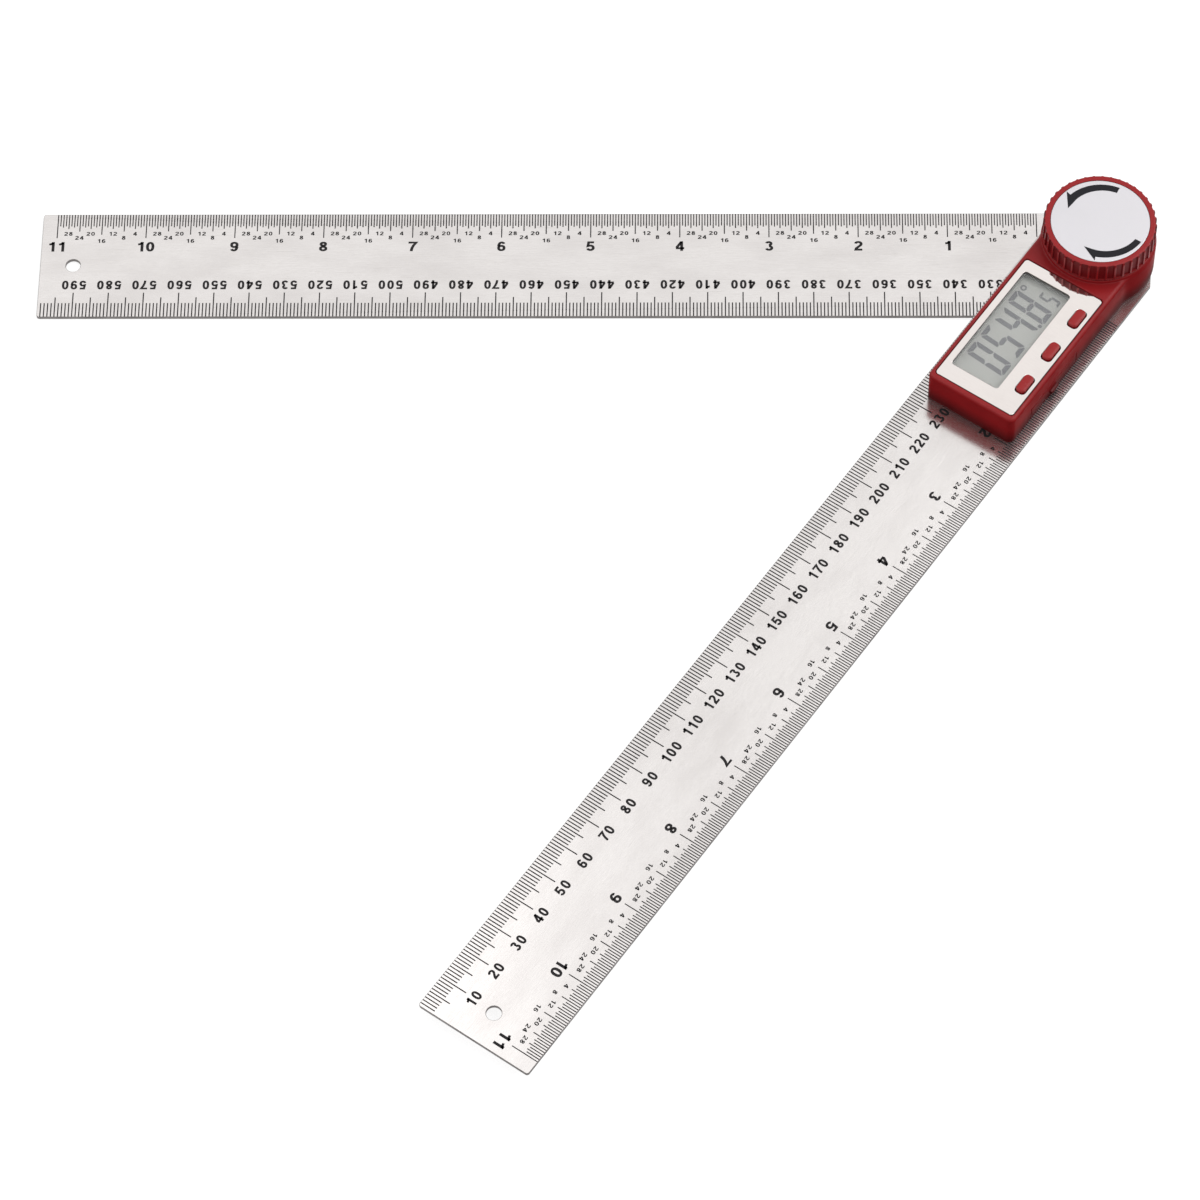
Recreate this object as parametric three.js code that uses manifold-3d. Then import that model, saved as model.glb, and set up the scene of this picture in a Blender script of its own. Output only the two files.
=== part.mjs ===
// Digital angle finder: two steel ruler arms on one pivot, a display head on the upper arm
// and a fluted clamping knob on top.
// Units are millimetres and +Z points up.
// The origin lies on the pivot axis, at the underside of the measuring arm, on which it rests.
// The measuring arm runs along -X. The display arm lies above it, turned by the rest angle.
// In each arm's own group, x runs from the pivot to the tip and y runs across the arm.

import * as THREE from 'three';
import { mergeVertices } from 'three/addons/utils/BufferGeometryUtils.js';
import Module from 'manifold-3d';

// Ruler blades
const bladeReach = 300;
const bladeWidth = 35.3;
const bladeThickness = 1.1;
const tipCornerRadius = 0.8;
const bladeEndInset = 2.05;
const bladeShoulderAngle = 30;
const hangHoleRadius = 2.1;
const hangHoleInset = 9.4;
const restAngle = 55.2;

// Clearances
const seatGap = 0.1;
const slipGap = 0.25;
const runningGap = 0.1;
const overrun = 1;

// Pivot stud, its flange and its screws
const stackGap = 1.73;
const flangeRadius = 9.5;
const flangeThickness = 1.4;
const journalRadius = 4;
const keyRadius = 3.2;
const keyFlatReach = 2.6;
const stemRadius = 2.5;
const stemChamfer = 0.4;
const hubScrewCount = 3;
const hubScrewPitchRadius = 6.6;
const hubScrewRadius = 0.9;
const hubScrewHeadRadius = 1.8;
const hubScrewHeadHeight = 0.8;
const hubScrewReach = 1.1;
const socketWidth = 0.5;
const socketDepth = 0.4;

// Friction ring between the blades, and the bush in the display blade
const frictionOuterRadius = 15.4;
const frictionInnerRadius = 11;
const bushRadius = 5.1;
const bushFlangeRadius = 6.3;
const bushFlangeThickness = 0.7;

// Encoder rotor and its clip
const rotorRadius = 13.4;
const rotorThickness = 0.8;
const rotorClipRadius = 4.3;
const rotorClipThickness = 0.6;
const rotorClipMouth = 1.6;
const rotorSlotCount = 12;
const rotorSlotInnerRadius = 8.6;
const rotorSlotOuterRadius = 11.8;
const rotorSlotWidth = 1.2;

// Head housing
const headFront = 66.4;
const headHalfWidth = 14.15;
const headOffset = 0.2;
const headHeight = 11;
const headWall = 1.6;
const headCornerRadius = 1.9;
const headEdgeRadius = 1;
const headTopWall = 1.2;
const bossBaseRadius = 16.3;
const bossTopRadius = 16.1;
const bossHeight = 11.9;
const bossEdgeRadius = 0.5;
const bossRoofWall = 1.6;
const bossBlendRadius = 6;
const studHoleGap = 0.6;

// Faceplate and what shows through it
const plateBossGap = 1.9;
const plateStart = bossTopRadius + plateBossGap;
const plateEnd = 64.35;
const plateHalfWidth = 12.7;
const plateThickness = 0.6;
const plateCornerRadius = 1;
const plateRecess = 0.1;
const plateWindowMargin = 3.6;
const windowStart = plateStart + plateWindowMargin;
const windowEnd = 59.3;
const windowHalfWidth = 7.6;
const windowOffset = -3.15;
const windowCornerRadius = 0.9;
const windowBorder = 1.1;
const windowThickness = 0.6;
const panelThickness = 1.6;
const panelBorder = 1;
const panelRecess = 1;

// Buttons and their switches
const buttonPlaces = [53.7, 40.5, 27.1];
const buttonNames = ['zero', 'hold', 'power'];
const buttonOffset = 9.95;
const buttonLength = 6.2;
const buttonWidth = 2.9;
const buttonCornerRadius = 1.2;
const buttonProud = 1;
const buttonEdgeRadius = 0.5;
const buttonFlangeBorder = 0.6;
const buttonFlangeInset = 0.3;
const buttonFlangeThickness = 0.5;
const buttonTravel = 0.4;
const buttonHoleGap = 0.25;
const switchLength = 4.5;
const switchWidth = 3;
const switchDomeRadius = 1.2;
const switchDomeHeight = 0.25;

// Main board, its strips and its screws
const boardThickness = 1;
const boardFront = 64.5;
const boardHalfWidth = 12;
const boardRingRadius = 14.1;
const boardRingHole = 7;
const boardLift = 6;
const stripWidth = 1.5;
const stripLength = 35;
const boardScrewPivotMargin = 3.8;
const boardScrewTipMargin = 3.4;
const boardScrewPlaces = [windowStart - boardScrewPivotMargin, windowEnd + boardScrewTipMargin];
const boardScrewRadius = 0.8;
const boardScrewHeadRadius = 1.5;
const boardScrewHeadHeight = 0.9;
const boardScrewReach = 1.6;
const boardPostRadius = 1.9;

// Housing base and the screws through the display blade
const baseThickness = 1;
const baseHoleRadius = 6.6;
const housingScrewPlaces = [13.2, 62.9];
const housingScrewSpread = 9.8;
const housingScrewRadius = 1;
const housingScrewHeadRadius = 1.9;
const housingScrewHeadHeight = 0.9;
const housingScrewReach = 6;
const housingPostRadius = 2.2;

// Battery tray, cell and contacts
const cellRadius = 10;
const cellThickness = 3.2;
const cellStep = 1;
const cellEdge = 0.2;
const trayCentre = 44.8;
const trayWall = 1.1;
const trayFloor = 0.5;
const trayFacingThickness = 1.9;
const trayTopMargin = 0.2;
const trayFloorHoleRadius = 7;
const lipLength = 3.4;
const lipHeight = 0.9;
const lipProud = 0.7;
const contactThickness = 0.15;
const contactWidth = 3;
const contactLength = 14;
const contactLugLength = 3;

// Clamping knob
const knobRadius = 15.95;
const knobHeight = 6.2;
const knobLift = 0.3;
const knobFluteCount = 40;
const knobFluteShare = 0.72;
const knobFluteDepth = 0.5;
const knobBaseRing = 0.25;
const knobEdgeRadius = 0.8;
const knobWall = 2;
const knobRoof = 1.7;
const knobHubRadius = 6;
const knobDiscRadius = 13.9;
const knobDiscThickness = 0.5;
const knobDiscRecess = 0.05;
const insertRadius = 4.4;
const insertGrooveDepth = 0.3;
const insertGrooveWidth = 0.8;
const thrustWasherRadius = 8;
const thrustWasherThickness = 0.7;

// Fineness of round shapes
const bigRoundSteps = 48;
const roundSteps = 28;
const smallRoundSteps = 12;
const arcSteps = 4;
const bladeEndSteps = 20;

// Heights above the resting plane
const lowerTop = bladeThickness;
const upperBottom = lowerTop + stackGap;
const upperTop = upperBottom + bladeThickness;
const headBottom = upperTop + seatGap;
const headTop = upperTop + headHeight;
const bossTop = upperTop + bossHeight;
const plateTop = headTop - plateRecess;
const plateBottom = plateTop - plateThickness;
const windowTop = plateBottom - seatGap;
const windowBottom = windowTop - windowThickness;
const panelTop = windowBottom - seatGap;
const panelBottom = panelTop - panelThickness;
const ceiling = plateBottom - seatGap - headTopWall;
const buttonFlangeTop = ceiling - seatGap;
const buttonFlangeBottom = buttonFlangeTop - buttonFlangeThickness;
const switchCrown = buttonFlangeBottom - buttonTravel - seatGap;
const boardBottom = upperTop + boardLift;
const boardTop = boardBottom + boardThickness;
const rotorTop = boardBottom - runningGap - rotorClipThickness - seatGap;
const rotorBottom = rotorTop - rotorThickness;
const knobBottom = bossTop + knobLift;
const knobTop = knobBottom + knobHeight;
const discBottom = knobTop - knobDiscRecess - knobDiscThickness;
const knobRoofBottom = discBottom - knobRoof;
const stemTop = discBottom - seatGap;
const thrustBottom = bossTop + seatGap;
const thrustTop = thrustBottom + thrustWasherThickness;
const baseBottom = headBottom;
const baseTop = baseBottom + baseThickness;
const trayBottom = baseTop + contactThickness + seatGap;
const cellBottom = trayBottom + trayFloor + seatGap;
const cellTop = cellBottom + cellThickness;
const trayTop = cellTop + trayTopMargin;

// Finishes
function finish(color, roughness, metalness) {
  return new THREE.MeshStandardMaterial({ color, roughness, metalness });
}

const bladeSteel = finish(0xd6d1cf, 0.35, 1);
const brightSteel = finish(0xcfcfd3, 0.25, 1);
const plateMetal = finish(0xece4e0, 0.15, 1);
const redPlastic = finish(0x961c20, 0.3, 0);
const buttonPlastic = finish(0xa02428, 0.35, 0);
const blackPlastic = finish(0x1c1c1e, 0.5, 0);
const paleNylon = finish(0xe8e4d8, 0.5, 0);
const brass = finish(0xb5913f, 0.3, 1);
const boardGreen = finish(0x1f5a34, 0.5, 0);
const glassGrey = finish(0xa9aeaa, 0.1, 0);
const clearPlastic = finish(0xdfe4e4, 0.05, 0);
const stripRubber = finish(0x3a3a3c, 0.8, 0);
const springBronze = finish(0xb08d57, 0.35, 1);
const cellSteel = finish(0xbfc1c4, 0.3, 1);

// Solids and booleans
const wasm = await Module();
wasm.setup();

function solidFrom(geometry) {
  const bare = geometry.clone();
  bare.deleteAttribute('normal');
  bare.deleteAttribute('uv');
  const merged = mergeVertices(bare);
  const corners = merged.index.array;
  const triVerts = [];
  for (let i = 0; i < corners.length; i += 3) {
    const [a, b, c] = [corners[i], corners[i + 1], corners[i + 2]];
    if (a !== b && b !== c && c !== a) triVerts.push(a, b, c);
  }
  return new wasm.Manifold(new wasm.Mesh({
    numProp: 3,
    vertProperties: new Float32Array(merged.attributes.position.array),
    triVerts: new Uint32Array(triVerts),
  }));
}

function join(first, ...others) {
  return others.reduce((whole, piece) => whole.add(piece), first);
}

function cut(first, ...others) {
  return others.reduce((whole, piece) => whole.subtract(piece), first);
}

function geometryFrom(solid) {
  const mesh = solid.getMesh();
  const geometry = new THREE.BufferGeometry();
  geometry.setAttribute('position', new THREE.BufferAttribute(new Float32Array(mesh.vertProperties), 3));
  geometry.setIndex(new THREE.BufferAttribute(new Uint32Array(mesh.triVerts), 1));
  geometry.computeVertexNormals();
  return geometry;
}

function piece(name, material, solid) {
  const mesh = new THREE.Mesh(geometryFrom(solid), material);
  mesh.name = name;
  return mesh;
}

// Basic shapes, each between two heights

function prism(shape, bottom, top, steps = arcSteps) {
  const depth = top - bottom;
  const geometry = new THREE.ExtrudeGeometry(shape, { depth, bevelEnabled: false, curveSegments: steps });
  return solidFrom(geometry.translate(0, 0, bottom));
}

function block(x0, x1, y0, y1, bottom, top) {
  const geometry = new THREE.BoxGeometry(x1 - x0, y1 - y0, top - bottom);
  return solidFrom(geometry.translate((x0 + x1) / 2, (y0 + y1) / 2, (bottom + top) / 2));
}

function round(radius, bottom, top, steps = roundSteps, x = 0, y = 0) {
  const geometry = new THREE.CylinderGeometry(radius, radius, top - bottom, steps);
  geometry.rotateX(Math.PI / 2);
  return solidFrom(geometry.translate(x, y, (bottom + top) / 2));
}

// A turned shape from a profile of [radius, height] pairs that starts and ends on the axis, bottom first.
function turned(profile, steps = roundSteps, x = 0, y = 0) {
  const geometry = new THREE.LatheGeometry(profile.map(([r, h]) => new THREE.Vector2(r, h)), steps);
  geometry.rotateX(Math.PI / 2);
  return solidFrom(geometry.translate(x, y, 0));
}

function roundedRectangle(x0, x1, y0, y1, radius) {
  const shape = new THREE.Shape();
  const quarter = Math.PI / 2;
  shape.absarc(x1 - radius, y0 + radius, radius, -quarter, 0);
  shape.absarc(x1 - radius, y1 - radius, radius, 0, quarter);
  shape.absarc(x0 + radius, y1 - radius, radius, quarter, Math.PI);
  shape.absarc(x0 + radius, y0 + radius, radius, Math.PI, Math.PI + quarter);
  return shape;
}

// Points along an arc, ends included.
function arcPoints(x, y, radius, start, end, steps) {
  const points = [];
  for (let i = 0; i <= steps; i += 1) {
    const angle = start + ((end - start) * i) / steps;
    points.push(new THREE.Vector2(x + radius * Math.cos(angle), y + radius * Math.sin(angle)));
  }
  return points;
}

// A closed skin through outlines of equal point count, each { points, height }, lowest first.
function loft(layers) {
  const count = layers[0].points.length;
  const positions = [];
  const index = [];
  for (const { points, height } of layers) {
    for (const { x, y } of points) positions.push(x, y, height);
  }
  for (let layer = 0; layer < layers.length - 1; layer += 1) {
    for (let i = 0; i < count; i += 1) {
      const a = layer * count + i;
      const b = layer * count + ((i + 1) % count);
      index.push(a, b, b + count, a, b + count, a + count);
    }
  }
  const last = (layers.length - 1) * count;
  const lid = (points) => THREE.ShapeUtils.triangulateShape(points, []);
  for (const [a, b, c] of lid(layers[0].points)) index.push(a, c, b);
  for (const [a, b, c] of lid(layers[layers.length - 1].points)) index.push(last + a, last + b, last + c);
  const geometry = new THREE.BufferGeometry();
  geometry.setAttribute('position', new THREE.Float32BufferAttribute(positions, 3));
  geometry.setIndex(index);
  return solidFrom(geometry);
}

// Layers of an outline whose top edge is rounded over: outlineAt(inset) gives the outline drawn in.
function roundedTopLayers(outlineAt, bottom, top, edge) {
  const layers = [{ points: outlineAt(0), height: bottom }];
  for (let i = 0; i <= arcSteps; i += 1) {
    const angle = (Math.PI / 2) * (i / arcSteps);
    const inset = edge * (1 - Math.cos(angle));
    layers.push({ points: outlineAt(inset), height: top - edge + edge * Math.sin(angle) });
  }
  return layers;
}

// A countersunk screw with a straight slot, head flush at the height given, shank upwards.
function countersunkScrew(shank, head, headHeight, reach, bottom, x, y) {
  const sunk = bottom + headHeight;
  const profile = [[0, bottom], [head, bottom], [shank, sunk], [shank, sunk + reach], [0, sunk + reach]];
  const body = turned(profile, smallRoundSteps, x, y);
  const slot = block(x - head, x + head, y - socketWidth / 2, y + socketWidth / 2,
    bottom - overrun, bottom + socketDepth);
  return cut(body, slot);
}

// The hole that such a screw sits in, through a sheet and up to a height.
function countersunkHole(shank, head, headHeight, bottom, top, x, y) {
  const wide = head + runningGap;
  const narrow = shank + runningGap;
  const sunk = bottom + headHeight;
  const profile = [
    [0, bottom - overrun], [wide, bottom - overrun], [wide, bottom], [narrow, sunk], [narrow, top], [0, top],
  ];
  return turned(profile, smallRoundSteps, x, y);
}

// Ruler blade: sloping shoulders to a round end at the pivot, square at the tip, with a hang hole.
function bladeBody(bottom, top) {
  const half = bladeWidth / 2;
  const corner = tipCornerRadius;
  const quarter = Math.PI / 2;
  const slope = THREE.MathUtils.degToRad(bladeShoulderAngle);
  const endRadius = half - bladeEndInset;
  const shoulder = (half * Math.cos(slope) - endRadius) / Math.sin(slope);
  const shape = new THREE.Shape();
  shape.absarc(bladeReach - corner, -half + corner, corner, -quarter, 0);
  shape.absarc(bladeReach - corner, half - corner, corner, 0, quarter);
  shape.lineTo(shoulder, half);
  shape.absarc(0, 0, endRadius, quarter + slope, quarter + Math.PI - slope);
  shape.lineTo(shoulder, -half);
  const blade = prism(shape, bottom, top, bladeEndSteps);
  const holeX = bladeReach - hangHoleInset;
  const hole = round(hangHoleRadius, bottom - overrun, top + overrun, smallRoundSteps, holeX);
  return cut(blade, hole);
}

const hubScrewSpots = Array.from({ length: hubScrewCount }, (_, i) => {
  const angle = (2 * Math.PI * i) / hubScrewCount;
  return [hubScrewPitchRadius * Math.cos(angle), hubScrewPitchRadius * Math.sin(angle)];
});

const housingScrewSpots = housingScrewPlaces.flatMap((x) => [
  [x, headOffset - housingScrewSpread],
  [x, headOffset + housingScrewSpread],
]);

function measuringBlade() {
  const holes = hubScrewSpots.map(([x, y]) => countersunkHole(
    hubScrewRadius, hubScrewHeadRadius, hubScrewHeadHeight, 0, lowerTop + overrun, x, y));
  return cut(bladeBody(0, lowerTop), ...holes);
}

function displayBlade() {
  const holes = housingScrewSpots.map(([x, y]) => countersunkHole(
    housingScrewRadius, housingScrewHeadRadius, housingScrewHeadHeight,
    upperBottom, upperTop + overrun, x, y));
  const bushHole = round(bushRadius + runningGap, upperBottom - overrun, upperTop + overrun);
  return cut(bladeBody(upperBottom, upperTop), bushHole, ...holes);
}

// Stud: flange on the measuring blade, journal for the bush, keyed seat for the rotor, threaded stem.
function pivotStud() {
  const flangeBottom = lowerTop + seatGap;
  const flangeTop = flangeBottom + flangeThickness;
  const keyTop = rotorTop + seatGap;
  const body = turned([
    [0, flangeBottom],
    [flangeRadius, flangeBottom],
    [flangeRadius, flangeTop],
    [journalRadius, flangeTop],
    [journalRadius, rotorBottom - seatGap],
    [keyRadius, rotorBottom - seatGap],
    [keyRadius, keyTop],
    [stemRadius, keyTop],
    [stemRadius, stemTop - stemChamfer],
    [stemRadius - stemChamfer, stemTop],
    [0, stemTop],
  ]);
  const flat = block(keyFlatReach, journalRadius + overrun, -journalRadius, journalRadius,
    rotorBottom - seatGap, keyTop);
  const screwHoles = hubScrewSpots.map(([x, y]) => round(
    hubScrewRadius + runningGap, flangeBottom - overrun, flangeTop + overrun, smallRoundSteps, x, y));
  return cut(body, flat, ...screwHoles);
}

function frictionRing() {
  const bottom = lowerTop + seatGap;
  const top = upperBottom - runningGap;
  return cut(round(frictionOuterRadius, bottom, top),
    round(frictionInnerRadius, bottom - overrun, top + overrun));
}

// Rotor: round board with a keyed hole and a ring of slots that the stator reads.
function encoderRotor() {
  const bore = keyRadius + runningGap;
  const key = cut(round(bore, rotorBottom - overrun, rotorTop + overrun),
    block(keyFlatReach + runningGap, bore + overrun, -bore, bore, rotorBottom - overrun, rotorTop + overrun));
  const slots = Array.from({ length: rotorSlotCount }, (_, i) => {
    const slot = new THREE.BoxGeometry(rotorSlotOuterRadius - rotorSlotInnerRadius, rotorSlotWidth,
      rotorThickness + overrun);
    slot.translate((rotorSlotOuterRadius + rotorSlotInnerRadius) / 2, 0, (rotorBottom + rotorTop) / 2);
    return solidFrom(slot.rotateZ((2 * Math.PI * i) / rotorSlotCount));
  });
  return cut(round(rotorRadius, rotorBottom, rotorTop), key, ...slots);
}

function rotorClip() {
  const bottom = rotorTop + seatGap;
  const top = bottom + rotorClipThickness;
  const mouth = block(0, rotorClipRadius + overrun, -rotorClipMouth / 2, rotorClipMouth / 2,
    bottom - overrun, top + overrun);
  const bore = round(stemRadius + runningGap, bottom - overrun, top + overrun);
  return cut(round(rotorClipRadius, bottom, top), bore, mouth);
}

function pivotBush() {
  const bottom = upperBottom;
  const flangeBottom = upperTop + seatGap;
  const top = flangeBottom + bushFlangeThickness;
  const body = turned([
    [0, bottom], [bushRadius, bottom], [bushRadius, flangeBottom],
    [bushFlangeRadius, flangeBottom], [bushFlangeRadius, top], [0, top],
  ]);
  return cut(body, round(journalRadius + runningGap, bottom - overrun, top + overrun));
}

// Plan of the head, drawn in by an inset: square front, round boss, hollow blends between them.
function headOutline(inset) {
  const right = headOffset + headHalfWidth;
  const left = headOffset - headHalfWidth;
  const blend = bossBlendRadius;
  const corner = headCornerRadius;
  const quarter = Math.PI / 2;
  const blendX = (wall) => Math.sqrt((bossBaseRadius + blend) ** 2 - (wall + blend) ** 2);
  const rightX = blendX(right);
  const leftX = blendX(-left);
  const rightTurn = Math.atan2(right + blend, rightX);
  const leftTurn = Math.atan2(left - blend, leftX);
  const cornerX = headFront - corner;
  const steps = arcSteps;
  return [
    ...arcPoints(cornerX, left + corner, corner - inset, -quarter, 0, steps),
    ...arcPoints(cornerX, right - corner, corner - inset, 0, quarter, steps),
    ...arcPoints(rightX, right + blend, blend + inset, -quarter, rightTurn - Math.PI, steps),
    ...arcPoints(0, 0, bossBaseRadius - inset, rightTurn, 2 * Math.PI + leftTurn, roundSteps).slice(1, -1),
    ...arcPoints(leftX, left - blend, blend + inset, Math.PI + leftTurn, quarter, steps),
  ];
}

const shapeOf = (points) => new THREE.Shape(points);

// Window, panel and button outlines

function windowOutline(border) {
  const middle = headOffset + windowOffset;
  return roundedRectangle(windowStart - border, windowEnd + border,
    middle - windowHalfWidth - border, middle + windowHalfWidth + border, windowCornerRadius);
}

function buttonOutline(place, border) {
  const middle = headOffset + buttonOffset;
  return roundedRectangle(place - buttonLength / 2 - border, place + buttonLength / 2 + border,
    middle - buttonWidth / 2 - border, middle + buttonWidth / 2 + border, buttonCornerRadius);
}

function plateOutline(border) {
  return roundedRectangle(plateStart - border, plateEnd + border,
    headOffset - plateHalfWidth - border, headOffset + plateHalfWidth + border, plateCornerRadius);
}

const trayHalfLength = cellRadius + slipGap + trayWall;
const trayEdge = headOffset + headHalfWidth;
const cellCentre = trayEdge - trayFacingThickness - slipGap - cellRadius;
const trayInnerEnd = cellCentre - cellRadius - slipGap - trayWall;

// Housing: one shell, open below, with posts inside and a boss round the stud.
function housing() {
  const shell = loft(roundedTopLayers(headOutline, headBottom, headTop, headEdgeRadius));
  const edge = bossEdgeRadius;
  const bossProfile = [[0, headBottom], [bossBaseRadius, headBottom]];
  for (const { x, y } of arcPoints(bossTopRadius - edge, bossTop - edge, edge, 0, Math.PI / 2, arcSteps)) {
    bossProfile.push([x, y]);
  }
  bossProfile.push([0, bossTop]);
  const boss = turned(bossProfile, bigRoundSteps);
  const hollow = prism(shapeOf(headOutline(headWall)), headBottom - overrun, ceiling);
  const bossHollow = round(bossTopRadius - headWall, headBottom - overrun, bossTop - bossRoofWall);
  const posts = [
    ...housingScrewSpots.map(([x, y]) => round(
      housingPostRadius, baseTop + seatGap, ceiling + overrun, smallRoundSteps, x, y)),
    ...boardScrewPlaces.map((x) => round(
      boardPostRadius, boardTop + seatGap, ceiling + overrun, smallRoundSteps, x, headOffset)),
  ];
  const walls = join(cut(join(shell, boss), hollow, bossHollow), ...posts);
  const screwHoles = [
    ...housingScrewSpots.map(([x, y]) => round(
      housingScrewRadius + runningGap, headBottom - overrun,
      upperTop + housingScrewReach + slipGap, smallRoundSteps, x, y)),
    ...boardScrewPlaces.map((x) => round(
      boardScrewRadius + runningGap, boardTop - overrun,
      boardTop + boardScrewReach + slipGap, smallRoundSteps, x, headOffset)),
  ];
  const studHole = round(stemRadius + studHoleGap, ceiling - overrun, bossTop + overrun);
  const platePocket = prism(plateOutline(slipGap), plateBottom - seatGap, bossTop + overrun);
  const bossKept = round(bossTopRadius, plateBottom - overrun, bossTop + overrun + overrun);
  const pocket = cut(platePocket, bossKept);
  const panelHole = prism(windowOutline(windowBorder + slipGap), ceiling - overrun, bossTop + overrun);
  const buttonHoles = buttonPlaces.map((place) => prism(
    buttonOutline(place, buttonHoleGap), ceiling - overrun, bossTop + overrun));
  const trayMouth = block(trayCentre - trayHalfLength - slipGap, trayCentre + trayHalfLength + slipGap,
    headOffset, trayEdge + overrun, trayBottom - seatGap, trayTop + seatGap);
  return cut(walls, studHole, pocket, panelHole, trayMouth, ...screwHoles, ...buttonHoles);
}

function housingBase() {
  const plan = headOutline(headWall + slipGap);
  const sheet = prism(shapeOf(plan), baseBottom, baseTop);
  const hole = round(baseHoleRadius, baseBottom - overrun, baseTop + overrun);
  const screwHoles = housingScrewSpots.map(([x, y]) => round(
    housingScrewRadius + slipGap, baseBottom - overrun, baseTop + overrun, smallRoundSteps, x, y));
  return cut(sheet, hole, ...screwHoles);
}

function faceplate() {
  const windowCut = prism(windowOutline(0), plateBottom - overrun, plateTop + overrun);
  const buttonCuts = buttonPlaces.map((place) => prism(
    buttonOutline(place, buttonHoleGap), plateBottom - overrun, plateTop + overrun));
  return cut(prism(plateOutline(0), plateBottom, plateTop), windowCut, ...buttonCuts);
}

function button(place) {
  const middle = headOffset + buttonOffset;
  const outlineAt = (inset) => {
    const radius = buttonCornerRadius - inset;
    const halfLength = buttonLength / 2 - buttonCornerRadius;
    const halfWidth = buttonWidth / 2 - buttonCornerRadius;
    const quarter = Math.PI / 2;
    return [
      ...arcPoints(place + halfLength, middle - halfWidth, radius, -quarter, 0, arcSteps),
      ...arcPoints(place + halfLength, middle + halfWidth, radius, 0, quarter, arcSteps),
      ...arcPoints(place - halfLength, middle + halfWidth, radius, quarter, Math.PI, arcSteps),
      ...arcPoints(place - halfLength, middle - halfWidth, radius, Math.PI, Math.PI + quarter, arcSteps),
    ];
  };
  const capTop = plateTop + buttonProud;
  const cap = loft(roundedTopLayers(outlineAt, buttonFlangeBottom, capTop, buttonEdgeRadius));
  const flangeReach = buttonLength / 2 + buttonFlangeBorder;
  const flangeHalf = buttonWidth / 2 - buttonFlangeInset;
  return join(cap, block(place - flangeReach, place + flangeReach,
    middle - flangeHalf, middle + flangeHalf, buttonFlangeBottom, buttonFlangeTop));
}

function keySwitch(place) {
  const middle = headOffset + buttonOffset;
  const bottom = boardTop + seatGap;
  const top = switchCrown - switchDomeHeight;
  const body = block(place - switchLength / 2, place + switchLength / 2,
    middle - switchWidth / 2, middle + switchWidth / 2, bottom, top);
  const inner = switchDomeRadius / 2;
  const dome = turned([
    [0, bottom], [switchDomeRadius, bottom], [switchDomeRadius, top], [inner, switchCrown], [0, switchCrown],
  ], smallRoundSteps, place, middle);
  return join(body, dome);
}

function mainBoard() {
  const plan = roundedRectangle(0, boardFront, headOffset - boardHalfWidth, headOffset + boardHalfWidth,
    windowCornerRadius);
  const sheet = join(prism(plan, boardBottom, boardTop), round(boardRingRadius, boardBottom, boardTop));
  const notches = [
    ...housingScrewSpots.map(([x, y]) => round(
      housingPostRadius + slipGap, boardBottom - overrun, boardTop + overrun, smallRoundSteps, x, y)),
    ...boardScrewPlaces.map((x) => round(
      boardScrewRadius + slipGap, boardBottom - overrun, boardTop + overrun, smallRoundSteps, x, headOffset)),
  ];
  const edges = housingScrewSpots.map(([x, y]) => {
    const outward = Math.sign(y - headOffset);
    const reach = boardHalfWidth + overrun;
    const far = headOffset + outward * reach;
    return block(x - housingPostRadius - slipGap, x + housingPostRadius + slipGap,
      Math.min(y, far), Math.max(y, far), boardBottom - overrun, boardTop + overrun);
  });
  return cut(sheet, round(boardRingHole, boardBottom - overrun, boardTop + overrun), ...notches, ...edges);
}

function boardScrew(x) {
  const headTop = boardBottom - seatGap;
  const headBase = headTop - boardScrewHeadHeight;
  const tip = boardTop + boardScrewReach;
  const body = turned([
    [0, headBase], [boardScrewHeadRadius, headBase], [boardScrewHeadRadius, headTop],
    [boardScrewRadius, headTop], [boardScrewRadius, tip], [0, tip],
  ], smallRoundSteps, x, headOffset);
  const slot = block(x - boardScrewHeadRadius, x + boardScrewHeadRadius,
    headOffset - socketWidth / 2, headOffset + socketWidth / 2, headBase - overrun, headBase + socketDepth);
  return cut(body, slot);
}

function lcdPanel() {
  const module = prism(windowOutline(windowBorder), panelBottom, panelTop);
  return cut(module, prism(windowOutline(0), panelTop - panelRecess, panelTop + overrun));
}

function lcdWindow() {
  return prism(windowOutline(windowBorder), windowBottom, windowTop);
}

function connectorStrip(side) {
  const middle = (windowStart + windowEnd) / 2;
  const centre = headOffset + windowOffset + side * (windowHalfWidth - panelBorder);
  return block(middle - stripLength / 2, middle + stripLength / 2,
    centre - stripWidth / 2, centre + stripWidth / 2, boardTop + seatGap, panelBottom - seatGap);
}

function batteryTray() {
  const frame = block(trayCentre - trayHalfLength, trayCentre + trayHalfLength,
    trayInnerEnd, trayEdge, trayBottom, trayTop);
  const pocket = round(cellRadius + slipGap, trayBottom + trayFloor, trayTop + overrun,
    roundSteps, trayCentre, cellCentre);
  const floorHole = round(trayFloorHoleRadius, trayBottom - overrun, trayTop,
    roundSteps, trayCentre, cellCentre);
  const lip = block(trayCentre - lipLength / 2, trayCentre + lipLength / 2,
    trayEdge - overrun, trayEdge + lipProud, trayBottom, trayBottom + lipHeight);
  return join(cut(frame, pocket, floorHole), lip);
}

function coinCell() {
  const inner = cellRadius - cellStep;
  return turned([
    [0, cellBottom], [inner, cellBottom], [inner, cellBottom + cellEdge],
    [cellRadius, cellBottom + cellEdge + cellEdge], [cellRadius, cellTop - cellEdge],
    [cellRadius - cellEdge, cellTop], [0, cellTop],
  ], roundSteps, trayCentre, cellCentre);
}

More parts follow.
